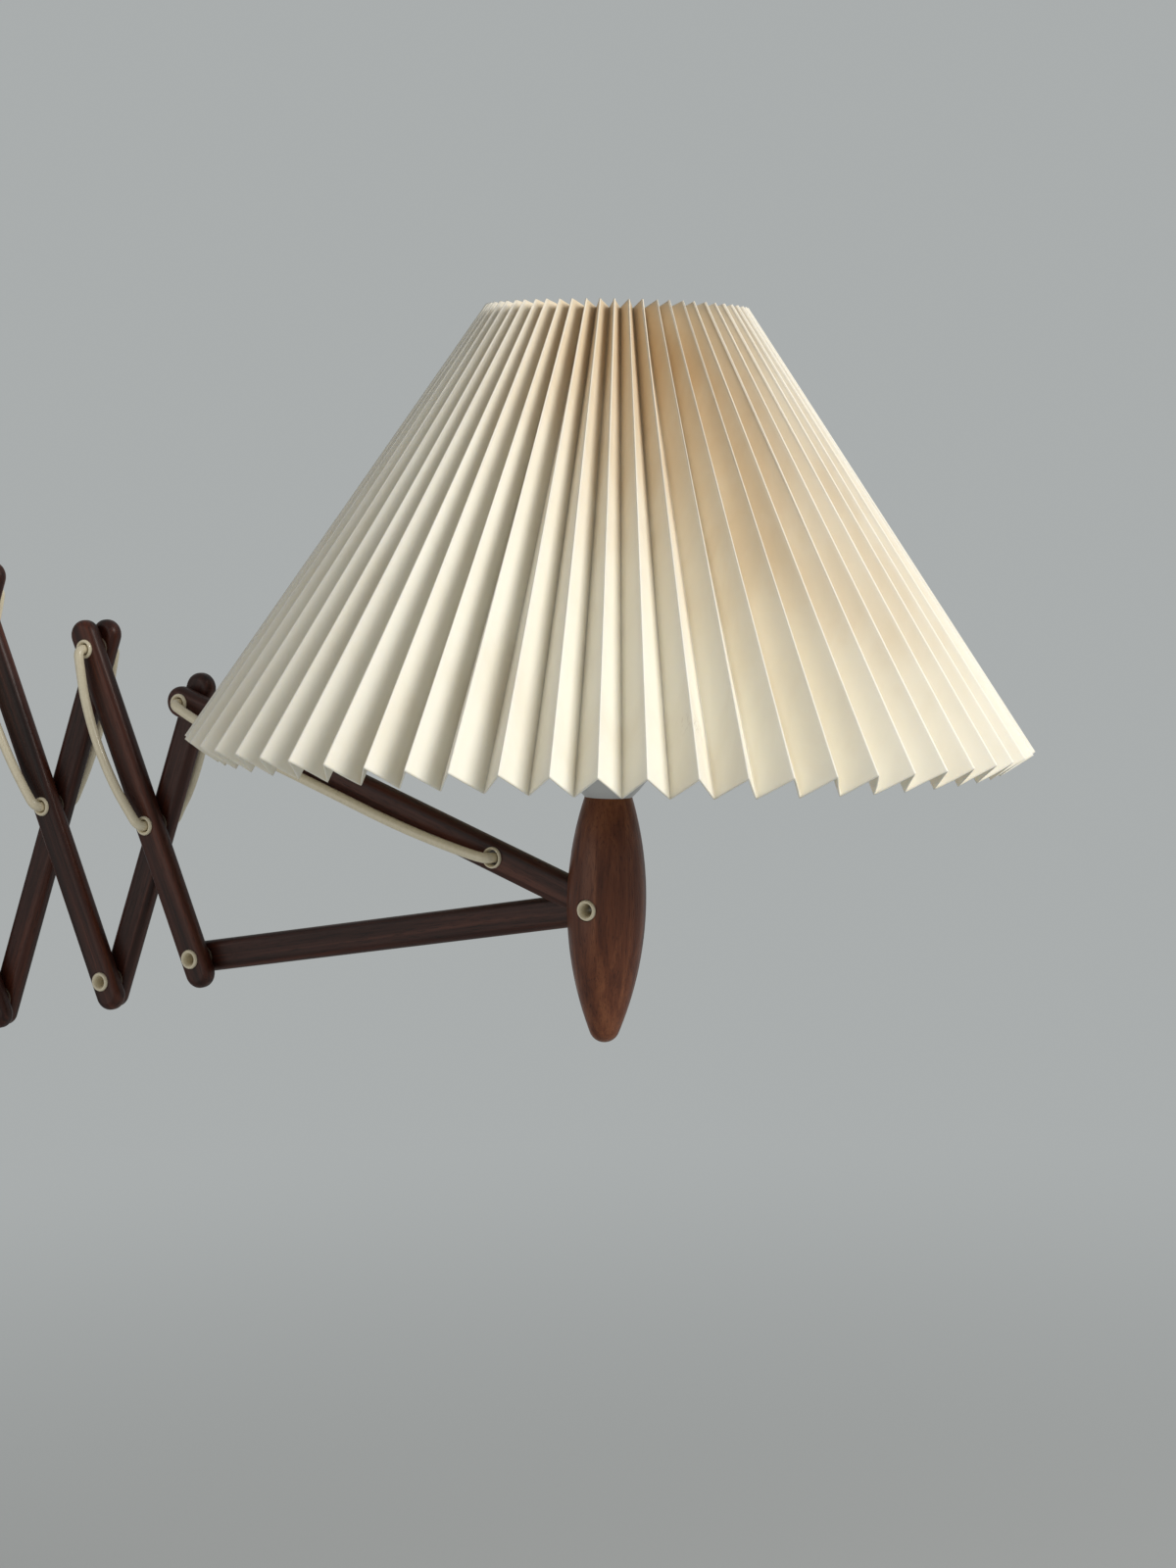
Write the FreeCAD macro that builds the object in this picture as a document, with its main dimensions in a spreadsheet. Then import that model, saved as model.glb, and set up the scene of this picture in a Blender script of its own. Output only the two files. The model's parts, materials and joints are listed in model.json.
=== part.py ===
"""Accordion (scissor) wall lamp, in millimetres.

The origin is the centre of the wall board's back face.  +X points out of the wall towards the shade,
+Z points up, and the scissors lie in the XZ plane: the front links in a layer at -Y, the rear links in a
layer at +Y.  Stage 1 is the small X at the lamp, stage 3 the large one at the wall.
"""
import FreeCAD, Part
import math
import os

import Sketcher

V = FreeCAD.Vector
UP = V(0, 0, 1)
ALONG_Y = FreeCAD.Rotation(V(1, 0, 0), -90)  # turns a piece drawn along Z so that it lies along +Y
ALONG_X = FreeCAD.Rotation(V(0, 1, 0), 90)  # turns a piece drawn along Z so that it lies along +X

# ------------------------------------------------------------------ driving dimensions
DIMS = {
    # scissor links, pivot to pivot: each cell between two centre rivets has two equal front sides and
    # two equal rear sides, so neighbouring links share them
    "wall_half": 120.0,
    "cell_front_2": 108.5, "cell_rear_2": 100.0,
    "cell_front_1": 86.5, "cell_rear_1": 78.5,
    "lamp_front": 64.5, "lamp_rear": 60.0,
    "front_arm_length": 233.4, "rear_arm_length": 218.33,
    "rest_angle": 68.2,  # steepness of the links at rest, degrees
    "link_width": 14.0, "link_thickness": 8.0, "link_edge": 3.4,
    "end_reach": 6.8,  # pivot to the centre of a link's round end
    "arm_end_reach": 1.5,
    "layer_gap": 1.0,
    # hollow rivets, and the wider eyelet where the flex enters the front arm
    "rivet_radius": 3.3, "rivet_bore": 2.45, "rivet_flange": 4.4,
    "entry_radius": 3.9, "entry_bore": 3.2, "entry_flange": 4.6, "entry_length": 1.6,
    "flange_height": 1.5, "flange_lip": 0.6, "mouth_flare": 0.6, "mouth_depth": 2.5,
    "crown_edge": 0.3, "running_fit": 0.06, "seat_fit": 0.02,
    "washer_radius": 5.6, "washer_play": 0.05,
    "entry_reach": 54.5,  # spindle pivot to the entry eyelet
    # flex
    "flex_radius": 2.2, "flex_lift": 4.7, "flex_bow_front": 7.0, "flex_bow_rear": 3.5,
    "flex_bow_arm": 4.5, "flex_gap": 0.3, "flex_straight": 4.0, "flex_play": 0.2, "flex_tail": 9.0,
    "groove_depth": 4.8, "groove_width": 4.8, "groove_end": 14.0, "slot_flex_start": 14.5,
    # wall side
    "board_width": 60.0, "board_height": 370.0, "board_depth": 16.0, "board_edge": 4.0,
    "screw_spacing": 290.0, "screw_hole": 2.3, "screw_head": 4.6, "screw_sink": 3.0,
    "outlet_drop": 18.0,  # from the rod's foot down to the hole where the flex enters the board
    "outlet_radius": 4.4, "outlet_lip": 1.5,
    "recess_width": 36.0, "recess_height": 34.0, "recess_depth": 11.0,
    "terminal_width": 24.0, "terminal_depth": 9.0, "terminal_height": 10.0, "terminal_way": 1.6,
    "terminal_pitch": 10.0, "terminal_seat": 0.3,
    "rod_reach": 30.0, "rod_radius": 5.0, "rod_bore": 2.6, "rod_bottom": -146.0, "rod_top": 152.0,
    "upper_pivot_height": 118.0,
    "collar_radius": 10.5, "collar_height": 20.0, "ear_reach": 26.0, "collar_play": 0.3,
    "stop_radius": 9.0, "stop_height": 7.0,
    "bracket_radius": 8.5, "bracket_height": 12.0, "bracket_arm": 12.0,
    "plate_width": 44.0, "plate_height": 22.0, "plate_thickness": 3.0,
    "plate_screw_spacing": 30.0, "plate_screw": 1.8, "plate_screw_head": 3.4,
    "plate_screw_top": 2.2, "plate_screw_dome": 1.8, "plate_screw_play": 0.1,
    "fold_in": 7.5,  # the links' last steepening at the wall, degrees
    # head, from the spindle pivot
    "head_tilt": 2.6, "spindle_radius": 16.5, "spindle_arc": 150.0, "spindle_belly": 2.0,
    "spindle_top": 46.0, "nose_radius": 6.5, "slot_play": 0.5, "slot_top": 22.0,
    "slot_bottom": -15.0, "slot_end": 12.0, "spot_face": 15.6,
    "nipple_radius": 5.0, "nipple_length": 18.0, "nipple_seat": 11.0, "nipple_bore": 3.0,
    "cap_foot": 10.0, "holder_radius": 19.5, "holder_wall": 2.0, "cap_height": 24.0,
    "cap_flare": 2.8, "cap_lip": 3.0, "cap_shoulder": 9.0, "cap_side": 14.0,
    "cap_floor": 4.5, "cap_shoulder_inside": 10.0, "cap_side_inside": 14.5,
    "skirt_height": 27.0, "ring_radius": 24.5, "ring_height": 6.0, "ring_drop": 3.0,
    "insulator_radius": 17.0, "insulator_height": 8.0, "insulator_way": 1.5, "way_reach": 11.9,
    "shell_radius": 13.7, "shell_wall": 0.45, "shell_height": 22.0,
    "contact_radius": 4.0, "contact_height": 2.0,
    "carrier_wire": 1.3, "carrier_elbow": 39.0, "carrier_ring": 42.2, "carrier_rise": 10.0,
    "carrier_sheet": 1.2, "elbow_rise": 7.0, "carrier_turn": 60.0,
    "shade_radius": 175.0, "shade_top_radius": 54.0, "shade_bottom": 69.4, "shade_height": 178.1,
    "pleat_depth": 12.0, "pleat_depth_top": 9.0, "shade_skin": 1.1,
}
PLEATS = 60
CARRIER_ARMS = 3

doc = FreeCAD.newDocument("wall_lamp")
sheet = doc.addObject("Spreadsheet::Sheet", "dims")
for row, (alias, value) in enumerate(DIMS.items(), start=1):
    sheet.set(f"A{row}", alias)
    sheet.set(f"B{row}", str(value))
    sheet.setAlias(f"B{row}", alias)
doc.recompute()
D = {alias: float(sheet.get(alias)) for alias in DIMS}

finished = {}  # node name -> document object


def keep(name, thing, position=V(0, 0, 0), turn=FreeCAD.Rotation()):
    """Name a finished sub-part and put it in its place."""
    thing.Label = name
    thing.Placement = FreeCAD.Placement(position, turn)
    finished[name] = thing
    return thing


# ------------------------------------------------------------------ places of the pivots at rest
ANGLE = math.radians(D["rest_angle"])
DOWN = V(math.cos(ANGLE), 0, -math.sin(ANGLE))  # along a front link, from its top end
RISE = V(math.cos(ANGLE), 0, math.sin(ANGLE))  # along a rear link, from its bottom end
PIVOT_X = D["rod_reach"] + D["ear_reach"]

top, centre, low = {}, {}, {}
top[4] = V(PIVOT_X, 0, D["upper_pivot_height"])
centre[3] = top[4] + DOWN * D["wall_half"]
low[4] = centre[3] - RISE * D["wall_half"]
top[3] = centre[3] + RISE * D["cell_rear_2"]
low[3] = centre[3] + DOWN * D["cell_front_2"]
centre[2] = top[3] + DOWN * D["cell_front_2"]
top[2] = centre[2] + RISE * D["cell_rear_1"]
low[2] = centre[2] + DOWN * D["cell_front_1"]
centre[1] = top[2] + DOWN * D["cell_front_1"]
top[1] = centre[1] + RISE * D["lamp_rear"]
low[1] = centre[1] + DOWN * D["lamp_front"]


def meeting(first, second, first_length, second_length):
    """The point on the lamp side that is first_length from first and second_length from second."""
    across = second - first
    span = across.Length
    along = (first_length**2 - second_length**2 + span**2) / (2 * span)
    out = math.sqrt(first_length**2 - along**2)
    normal = V(-across.z, 0, across.x) * (1 / span)
    return first + across * (along / span) + normal * out


spindle_pivot = meeting(top[1], low[1], D["front_arm_length"], D["rear_arm_length"])
LAYER = (D["link_thickness"] + D["layer_gap"]) / 2  # a layer's middle, from the plane between them
OUTER = LAYER + D["link_thickness"] / 2  # a layer's outer face


def steepness(start, end):
    """The turn about Y that lays a piece drawn along +X from start to end."""
    return FreeCAD.Rotation(V(0, 1, 0), -math.degrees(math.atan2(end.z - start.z, end.x - start.x)))


# ------------------------------------------------------------------ helpers for bodies and primitives
def plane(body, role):
    return next(f for f in body.Origin.OriginFeatures if f.Role == role)


def new_sketch(body, name, role="XZ_Plane"):
    sketch = body.newObject("Sketcher::SketchObject", name)
    sketch.AttachmentSupport = [(plane(body, role), "")]
    sketch.MapMode = "FlatFace"
    return sketch


def both_ways(feature):
    """Make a pad or a pocket run to both sides of its sketch."""
    if hasattr(feature, "SideType"):
        feature.SideType = "Symmetric"
    else:
        feature.Midplane = True


def stadium(sketch, radius, reach):
    """A closed outline with round ends: one end's centre at the origin, the other's reach further on."""
    r = float(sheet.get("link_width")) / 2
    far = eval_length(reach)
    sketch.addGeometry(Part.ArcOfCircle(Part.Circle(V(0, 0, 0), UP, r), math.pi / 2, 1.5 * math.pi))
    sketch.addGeometry(Part.LineSegment(V(0, -r, 0), V(far, -r, 0)))
    sketch.addGeometry(Part.ArcOfCircle(Part.Circle(V(far, 0, 0), UP, r), -math.pi / 2, math.pi / 2))
    sketch.addGeometry(Part.LineSegment(V(far, r, 0), V(0, r, 0)))
    for one, one_end, other, other_end in ((0, 2, 1, 1), (1, 2, 2, 1), (2, 2, 3, 1), (3, 2, 0, 1)):
        sketch.addConstraint(Sketcher.Constraint("Tangent", one, one_end, other, other_end))
    sketch.addConstraint(Sketcher.Constraint("Coincident", 0, 3, -1, 1))
    sketch.addConstraint(Sketcher.Constraint("PointOnObject", 2, 3, -1))
    reach_at = sketch.addConstraint(Sketcher.Constraint("DistanceX", 0, 3, 2, 3, far))
    radius_at = sketch.addConstraint(Sketcher.Constraint("Radius", 0, r))
    sketch.setExpression(f"Constraints[{reach_at}]", reach)
    sketch.setExpression(f"Constraints[{radius_at}]", radius)


def eval_length(text):
    """The value of a sum of sheet sizes, such as 'dims.a + 2 * dims.b'."""
    total = 0.0
    for term in text.split("+"):
        factor = 1.0
        for part in term.split("*"):
            part = part.strip()
            factor *= D[part[5:]] if part.startswith("dims.") else float(part)
        total += factor
    return total


def holes(body, name, places, radius):
    """Round holes through a bar, at distances along it from its first round end's centre."""
    sketch = new_sketch(body, name)
    for number, place in enumerate(places):
        x = eval_length(place)
        sketch.addGeometry(Part.Circle(V(x, 0, 0), UP, eval_length(radius)))
        sketch.addConstraint(Sketcher.Constraint("PointOnObject", number, 3, -1))
        x_at = sketch.addConstraint(Sketcher.Constraint("DistanceX", -1, 1, number, 3, x))
        r_at = sketch.addConstraint(Sketcher.Constraint("Radius", number, eval_length(radius)))
        sketch.setExpression(f"Constraints[{x_at}]", place)
        sketch.setExpression(f"Constraints[{r_at}]", radius)
    pocket = body.newObject("PartDesign::Pocket", name + "_cut")
    pocket.Profile = sketch
    pocket.Type = "ThroughAll"
    both_ways(pocket)
    doc.recompute()
    return pocket


def bar(name, reach, hole_places, hole_radius="dims.rivet_radius + dims.running_fit"):
    """A wooden bar with round ends, softened edges and rivet holes, drawn along +X."""
    body = doc.addObject("PartDesign::Body", name)
    outline = new_sketch(body, name + "_outline")
    stadium(outline, "dims.link_width / 2", reach)
    pad = body.newObject("PartDesign::Pad", name + "_pad")
    pad.Profile = outline
    both_ways(pad)
    pad.setExpression("Length", "dims.link_thickness")
    doc.recompute()
    flat = [f"Face{i}" for i, face in enumerate(pad.Shape.Faces, start=1)
            if abs(face.normalAt(0, 0).y) > 0.9 and len(face.Edges) == 4 and face.Surface.TypeId
            == "Part::GeomPlane"]
    soften = body.newObject("PartDesign::Fillet", name + "_edges")
    soften.Base = (pad, flat)
    soften.setExpression("Radius", "dims.link_edge")
    doc.recompute()
    holes(body, name + "_holes", hole_places, hole_radius)
    return body


def solid(kind, name, place=V(0, 0, 0), turn=FreeCAD.Rotation(), **sizes):
    """A Part primitive whose sizes are expressions on the sheet."""
    thing = doc.addObject("Part::" + kind, name)
    for key, expression in sizes.items():
        if isinstance(expression, str):
            thing.setExpression(key, expression)
        else:
            setattr(thing, key, expression)
    thing.Placement = FreeCAD.Placement(place, turn)
    return thing


def joined(name, things):
    fuse = doc.addObject("Part::MultiFuse", name)
    fuse.Shapes = things
    return fuse


def less(name, base, tool):
    cut = doc.addObject("Part::Cut", name)
    cut.Base = base
    cut.Tool = tool
    return cut


# ------------------------------------------------------------------ scissor links and end arms
def link(name, first_half, second_half, start, end):
    """A scissor link with its three rivet holes, laid from its start pivot towards its end pivot."""
    reach = f"dims.{first_half} + dims.{second_half} + 2 * dims.end_reach"
    places = ["dims.end_reach", f"dims.end_reach + dims.{first_half}",
              f"dims.end_reach + dims.{first_half} + dims.{second_half}"]
    body = bar(name, reach, places)
    way = (end - start).normalize()
    layer = -LAYER if name.startswith("front") else LAYER
    keep(name, body, start - way * D["end_reach"] + V(0, layer, 0), steepness(start, end))


FRONT_SIDES = {1: ("cell_front_1", "lamp_front"), 2: ("cell_front_2", "cell_front_1"),
               3: ("wall_half", "cell_front_2")}
REAR_SIDES = {1: ("cell_rear_1", "lamp_rear"), 2: ("cell_rear_2", "cell_rear_1"),
              3: ("wall_half", "cell_rear_2")}
for stage in (1, 2, 3):
    link(f"front_link_{stage}", *FRONT_SIDES[stage], top[stage + 1], low[stage])
    link(f"rear_link_{stage}", *REAR_SIDES[stage], low[stage + 1], top[stage])

# The front arm's far end turns in the spindle's slot, and a groove in its back hides the flex.
front_arm = bar("front_arm", "dims.front_arm_length + 2 * dims.arm_end_reach",
                ["dims.arm_end_reach", "dims.front_arm_length + dims.arm_end_reach"])
way = (spindle_pivot - top[1]).normalize()
arm_length = D["front_arm_length"] + D["arm_end_reach"]
entry_sketch = new_sketch(front_arm, "entry_hole")
entry_at = arm_length - D["entry_reach"]
entry_sketch.addGeometry(Part.Circle(V(entry_at, 0, 0), UP, D["entry_radius"]))
entry_sketch.addConstraint(Sketcher.Constraint("PointOnObject", 0, 3, -1))
entry_sketch.addConstraint(Sketcher.Constraint("DistanceX", -1, 1, 0, 3, entry_at))
entry_sketch.addConstraint(Sketcher.Constraint("Radius", 0, D["entry_radius"]))
entry_sketch.setExpression(
    "Constraints[1]", "dims.front_arm_length + dims.arm_end_reach - dims.entry_reach")
entry_sketch.setExpression("Constraints[2]", "dims.entry_radius + dims.running_fit")
entry_cut = front_arm.newObject("PartDesign::Pocket", "entry_cut")
entry_cut.Profile = entry_sketch
entry_cut.Type = "ThroughAll"
both_ways(entry_cut)
doc.recompute()
groove_box = solid("Box", "groove_box", Length="dims.entry_reach - dims.groove_end",
                   Width="dims.groove_depth", Height="dims.groove_width")
groove_box.Placement = FreeCAD.Placement(
    V(entry_at, D["link_thickness"] / 2 - D["groove_depth"], -D["groove_width"] / 2),
    FreeCAD.Rotation())
arm_with_groove = less("front_arm_grooved", front_arm, groove_box)
keep("front_arm", arm_with_groove, top[1] - way * D["arm_end_reach"] - V(0, LAYER, 0),
     steepness(top[1], spindle_pivot))
front_arm.Label = "front_arm_bar"

rear_arm = bar("rear_arm", "dims.rear_arm_length + 2 * dims.arm_end_reach",
               ["dims.arm_end_reach", "dims.rear_arm_length + dims.arm_end_reach"])
rear_way = (spindle_pivot - low[1]).normalize()
keep("rear_arm", rear_arm, low[1] - rear_way * D["arm_end_reach"] + V(0, LAYER, 0),
     steepness(low[1], spindle_pivot))


# ------------------------------------------------------------------ hollow rivets and washers
def rivet(name, length, two_flanges=True, kind="rivet"):
    """A flanged tube along +Z: the front flange lies below z = 0, the rear one above z = length."""
    flange, bore_size = f"dims.{kind}_flange", f"dims.{kind}_bore"
    mouth_size = f"{bore_size} + dims.mouth_flare"
    crown_size, crown_rise = f"{mouth_size} + dims.crown_edge", "dims.flange_height - dims.flange_lip"
    barrel = solid("Cylinder", name + "_barrel", Radius=f"dims.{kind}_radius", Height=length)
    lip = solid("Cylinder", name + "_lip", Radius=flange, Height="dims.flange_lip")
    lip.setExpression("Placement.Base.z", "-dims.flange_lip")
    crown = solid("Cone", name + "_crown", Radius1=crown_size, Radius2=flange, Height=crown_rise)
    crown.setExpression("Placement.Base.z", "-dims.flange_height")
    bore = solid("Cylinder", name + "_bore", Radius=bore_size,
                 Height=f"{length} + 4 * dims.flange_height")
    bore.setExpression("Placement.Base.z", "-2 * dims.flange_height")
    mouth = solid("Cone", name + "_mouth", Radius1=mouth_size, Radius2=bore_size,
                  Height="dims.mouth_depth")
    mouth.setExpression("Placement.Base.z", "-dims.flange_height")
    pieces, cuts = [barrel, lip, crown], [bore, mouth]
    if two_flanges:
        back = solid("Cylinder", name + "_back", Radius=flange, Height="dims.flange_lip")
        back.setExpression("Placement.Base.z", length)
        cone = solid("Cone", name + "_cone", Radius1=flange, Radius2=crown_size, Height=crown_rise)
        cone.setExpression("Placement.Base.z", f"{length} + dims.flange_lip")
        far_mouth = solid("Cone", name + "_far_mouth", Radius1=bore_size, Radius2=mouth_size,
                          Height="dims.mouth_depth")
        far_mouth.setExpression("Placement.Base.z",
                                f"{length} + dims.flange_height - dims.mouth_depth")
        pieces += [back, cone]
        cuts.append(far_mouth)
    return less(name, joined(name + "_body", pieces), joined(name + "_cuts", cuts))


THROUGH = "2 * dims.link_thickness + dims.layer_gap"
FRONT_FACE = V(0, -OUTER, 0)
for number in (1, 2, 3, 4):
    keep(f"rivet_upper_{number}", rivet(f"rivet_upper_{number}", THROUGH), top[number] + FRONT_FACE,
         ALONG_Y)
    keep(f"rivet_lower_{number}", rivet(f"rivet_lower_{number}", THROUGH), low[number] + FRONT_FACE,
         ALONG_Y)
for number in (1, 2, 3):
    keep(f"rivet_centre_{number}", rivet(f"rivet_centre_{number}", THROUGH),
         centre[number] + FRONT_FACE, ALONG_Y)
entry_place = spindle_pivot - way * D["entry_reach"]
keep("flex_eyelet", rivet("flex_eyelet", "dims.entry_length", False, "entry"),
     entry_place + FRONT_FACE, ALONG_Y)


def washer(name, place):
    """A thin washer in the gap between the layers, held against the front piece."""
    disc = solid("Cylinder", name + "_disc", Radius="dims.washer_radius",
                 Height="dims.layer_gap - dims.washer_play")
    hole = solid("Cylinder", name + "_hole", Radius="dims.rivet_radius + dims.running_fit",
                 Height="dims.layer_gap")
    ring = less(name, disc, hole)
    ring.Placement = FreeCAD.Placement(place - V(0, D["layer_gap"] / 2, 0), ALONG_Y)
    return ring


for stage in (1, 2, 3):
    places = (top[stage + 1], centre[stage], low[stage])
    group = doc.addObject("Part::Compound", f"washers_link_{stage}")
    group.Links = [washer(f"washer_{stage}_{i}", place) for i, place in enumerate(places)]
    keep(f"washers_link_{stage}", group)
finished["washer_front_arm"] = washer("washer_front_arm", top[1])
finished["washer_collar"] = washer("washer_collar", low[4])
for name in ("washer_front_arm", "washer_collar"):
    finished[name].Label = name


# ------------------------------------------------------------------ wall board, rod and brackets
board = doc.addObject("PartDesign::Body", "wall_board")
board_outline = new_sketch(board, "board_outline", "YZ_Plane")
half_w, half_h = D["board_width"] / 2, D["board_height"] / 2
corners = [V(-half_w, -half_h, 0), V(half_w, -half_h, 0), V(half_w, half_h, 0), V(-half_w, half_h, 0)]
for i in range(4):
    board_outline.addGeometry(Part.LineSegment(corners[i], corners[(i + 1) % 4]))
for i in range(4):
    board_outline.addConstraint(Sketcher.Constraint("Coincident", i, 2, (i + 1) % 4, 1))
for i, kind in enumerate(("Horizontal", "Vertical", "Horizontal", "Vertical")):
    board_outline.addConstraint(Sketcher.Constraint(kind, i))
board_outline.addConstraint(Sketcher.Constraint("Symmetric", 0, 1, 2, 1, -1, 1))
wide = board_outline.addConstraint(Sketcher.Constraint("DistanceX", 0, 1, 0, 2, 2 * half_w))
tall = board_outline.addConstraint(Sketcher.Constraint("DistanceY", 1, 1, 1, 2, 2 * half_h))
board_outline.setExpression(f"Constraints[{wide}]", "dims.board_width")
board_outline.setExpression(f"Constraints[{tall}]", "dims.board_height")
board_pad = board.newObject("PartDesign::Pad", "board_pad")
board_pad.Profile = board_outline
board_pad.setExpression("Length", "dims.board_depth")
doc.recompute()
front_of_board = [f"Face{i}" for i, face in enumerate(board_pad.Shape.Faces, start=1)
                  if face.CenterOfMass.x > D["board_depth"] - 0.01]
board_edge = board.newObject("PartDesign::Fillet", "board_edge")
board_edge.Base = (board_pad, front_of_board)
board_edge.setExpression("Radius", "dims.board_edge")
doc.recompute()
FLEX_OUTLET = D["rod_bottom"] - D["outlet_drop"]  # height where the flex goes back into the board
tools = []
for number, side in enumerate((-1, 1)):
    at = V(0, 0, side * D["screw_spacing"] / 2)
    shaft = solid("Cylinder", f"screw_shaft_{number}", at, ALONG_X, Radius="dims.screw_hole",
                  Height="dims.board_depth")
    shaft.setExpression("Placement.Base.z", f"{side} * dims.screw_spacing / 2")
    sink = solid("Cone", f"screw_sink_{number}", at, ALONG_X, Radius1="dims.screw_hole",
                 Radius2="dims.screw_head", Height="dims.screw_sink")
    sink.setExpression("Placement.Base.x", "dims.board_depth - dims.screw_sink")
    sink.setExpression("Placement.Base.z", f"{side} * dims.screw_spacing / 2")
    tools += [shaft, sink]
recess = solid("Box", "terminal_recess", Length="dims.recess_depth", Width="dims.recess_width",
               Height="dims.recess_height")
recess.setExpression("Placement.Base.y", "-dims.recess_width / 2")
recess.setExpression("Placement.Base.z", "dims.rod_bottom - dims.outlet_drop - dims.recess_height / 2")
outlet = solid("Cylinder", "flex_outlet", V(0, 0, FLEX_OUTLET), ALONG_X,
               Radius="dims.outlet_radius", Height="dims.board_depth")
outlet.setExpression("Placement.Base.z", "dims.rod_bottom - dims.outlet_drop")
keep("wall_board", less("wall_board_cut", board, joined("board_tools", tools + [recess, outlet])))
board.Label = "wall_board_blank"

bush_ring = solid("Cylinder", "outlet_bush_ring", Radius="dims.outlet_radius - dims.seat_fit",
                  Height="dims.board_depth - dims.recess_depth")
bush_lip = solid("Cylinder", "outlet_bush_lip", Radius="dims.outlet_radius + dims.outlet_lip",
                 Height="dims.flange_lip")
bush_lip.setExpression("Placement.Base.z", "-dims.flange_lip")
bush_through = solid("Cylinder", "outlet_bush_through", Radius="dims.rivet_bore",
                     Height="2 * dims.board_depth")
bush_through.setExpression("Placement.Base.z", "-dims.board_depth")
keep("outlet_bush", less("outlet_bush_cut", joined("outlet_bush_body", [bush_ring, bush_lip]),
                         bush_through),
     V(D["board_depth"], 0, FLEX_OUTLET), FreeCAD.Rotation(V(0, 1, 0), -90))

terminal = solid("Box", "terminal_blank", Length="dims.terminal_depth",
                 Width="dims.terminal_width", Height="dims.terminal_height")
terminal_holes = []
for side in (-1, 1):
    way_through = solid("Cylinder", f"terminal_way_{side + 1}", Radius="dims.terminal_way",
                        Height="2 * dims.terminal_height")
    way_through.setExpression("Placement.Base.x", "dims.terminal_depth / 2")
    way_through.setExpression("Placement.Base.y",
                              f"dims.terminal_width / 2 + {side} * dims.terminal_pitch / 2")
    way_through.setExpression("Placement.Base.z", "-dims.terminal_height / 2")
    terminal_holes.append(way_through)
keep("terminal_block", less("terminal_cut", terminal, joined("terminal_ways", terminal_holes)),
     V(D["recess_depth"] - D["terminal_depth"] - D["terminal_seat"], -D["terminal_width"] / 2,
       FLEX_OUTLET - D["recess_height"] / 2 + D["terminal_seat"]))

rod_outer = solid("Cylinder", "rod_outer", Radius="dims.rod_radius",
                  Height="dims.rod_top - dims.rod_bottom")
rod_inner = solid("Cylinder", "rod_inner", Radius="dims.rod_bore",
                  Height="dims.rod_top - dims.rod_bottom")
keep("rod", less("rod_tube", rod_outer, rod_inner), V(D["rod_reach"], 0, D["rod_bottom"]))


def bracket(name):
    """A screwed plate with an arm and an eye round the rod; z = 0 is the eye's middle."""
    plate = solid("Box", name + "_plate", Length="dims.plate_thickness", Width="dims.plate_width",
                  Height="dims.plate_height")
    plate.setExpression("Placement.Base.x", "dims.board_depth")
    plate.setExpression("Placement.Base.y", "-dims.plate_width / 2")
    plate.setExpression("Placement.Base.z", "-dims.plate_height / 2")
    arm = solid("Box", name + "_arm", Length="dims.rod_reach - dims.board_depth",
                Width="dims.bracket_arm", Height="dims.bracket_height")
    arm.setExpression("Placement.Base.x", "dims.board_depth")
    arm.setExpression("Placement.Base.y", "-dims.bracket_arm / 2")
    arm.setExpression("Placement.Base.z", "-dims.bracket_height / 2")
    eye = solid("Cylinder", name + "_eye", Radius="dims.bracket_radius",
                Height="dims.bracket_height")
    eye.setExpression("Placement.Base.x", "dims.rod_reach")
    eye.setExpression("Placement.Base.z", "-dims.bracket_height / 2")
    way_through = solid("Cylinder", name + "_bore", Radius="dims.rod_radius + dims.seat_fit",
                        Height="2 * dims.bracket_height")
    way_through.setExpression("Placement.Base.x", "dims.rod_reach")
    way_through.setExpression("Placement.Base.z", "-dims.bracket_height")
    cuts = [way_through]
    for side in (-1, 1):
        hole = solid("Cylinder", f"{name}_screw_{side + 1}", V(0, 0, 0), ALONG_X,
                     Radius="dims.plate_screw + dims.plate_screw_play", Height="dims.plate_thickness")
        hole.setExpression("Placement.Base.x", "dims.board_depth")
        hole.setExpression("Placement.Base.y", f"{side} * dims.plate_screw_spacing / 2")
        cuts.append(hole)
    return less(name, joined(name + "_solid", [plate, arm, eye]), joined(name + "_cuts", cuts))


half_travel = math.sin(math.radians(D["rest_angle"] + D["fold_in"])) * 2 * D["wall_half"]
collar_reach = D["collar_height"] / 2 + D["collar_play"] + D["bracket_height"] / 2
upper_bracket_z = D["upper_pivot_height"] + collar_reach
lower_bracket_z = D["upper_pivot_height"] - half_travel - collar_reach
keep("upper_bracket", bracket("upper_bracket"), V(0, 0, upper_bracket_z))
keep("lower_bracket", bracket("lower_bracket"), V(0, 0, lower_bracket_z))

screws = []
for height in (upper_bracket_z, lower_bracket_z):
    for side in (-1, 1):
        dome = solid("Cone", "screw_dome", Radius1="dims.plate_screw_head",
                     Radius2="dims.plate_screw_top", Height="dims.plate_screw_dome")
        shank = solid("Cylinder", "screw_shank", Radius="dims.plate_screw",
                      Height="dims.plate_thickness - dims.seat_fit")
        shank.setExpression("Placement.Base.z", "-dims.plate_thickness + dims.seat_fit")
        screw = joined("bracket_screw", [dome, shank])
        screw.Placement = FreeCAD.Placement(
            V(D["board_depth"] + D["plate_thickness"], side * D["plate_screw_spacing"] / 2, height),
            ALONG_X)
        screws.append(screw)
screw_group = doc.addObject("Part::Compound", "bracket_screw_group")
screw_group.Links = screws
keep("bracket_screws", screw_group)

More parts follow.
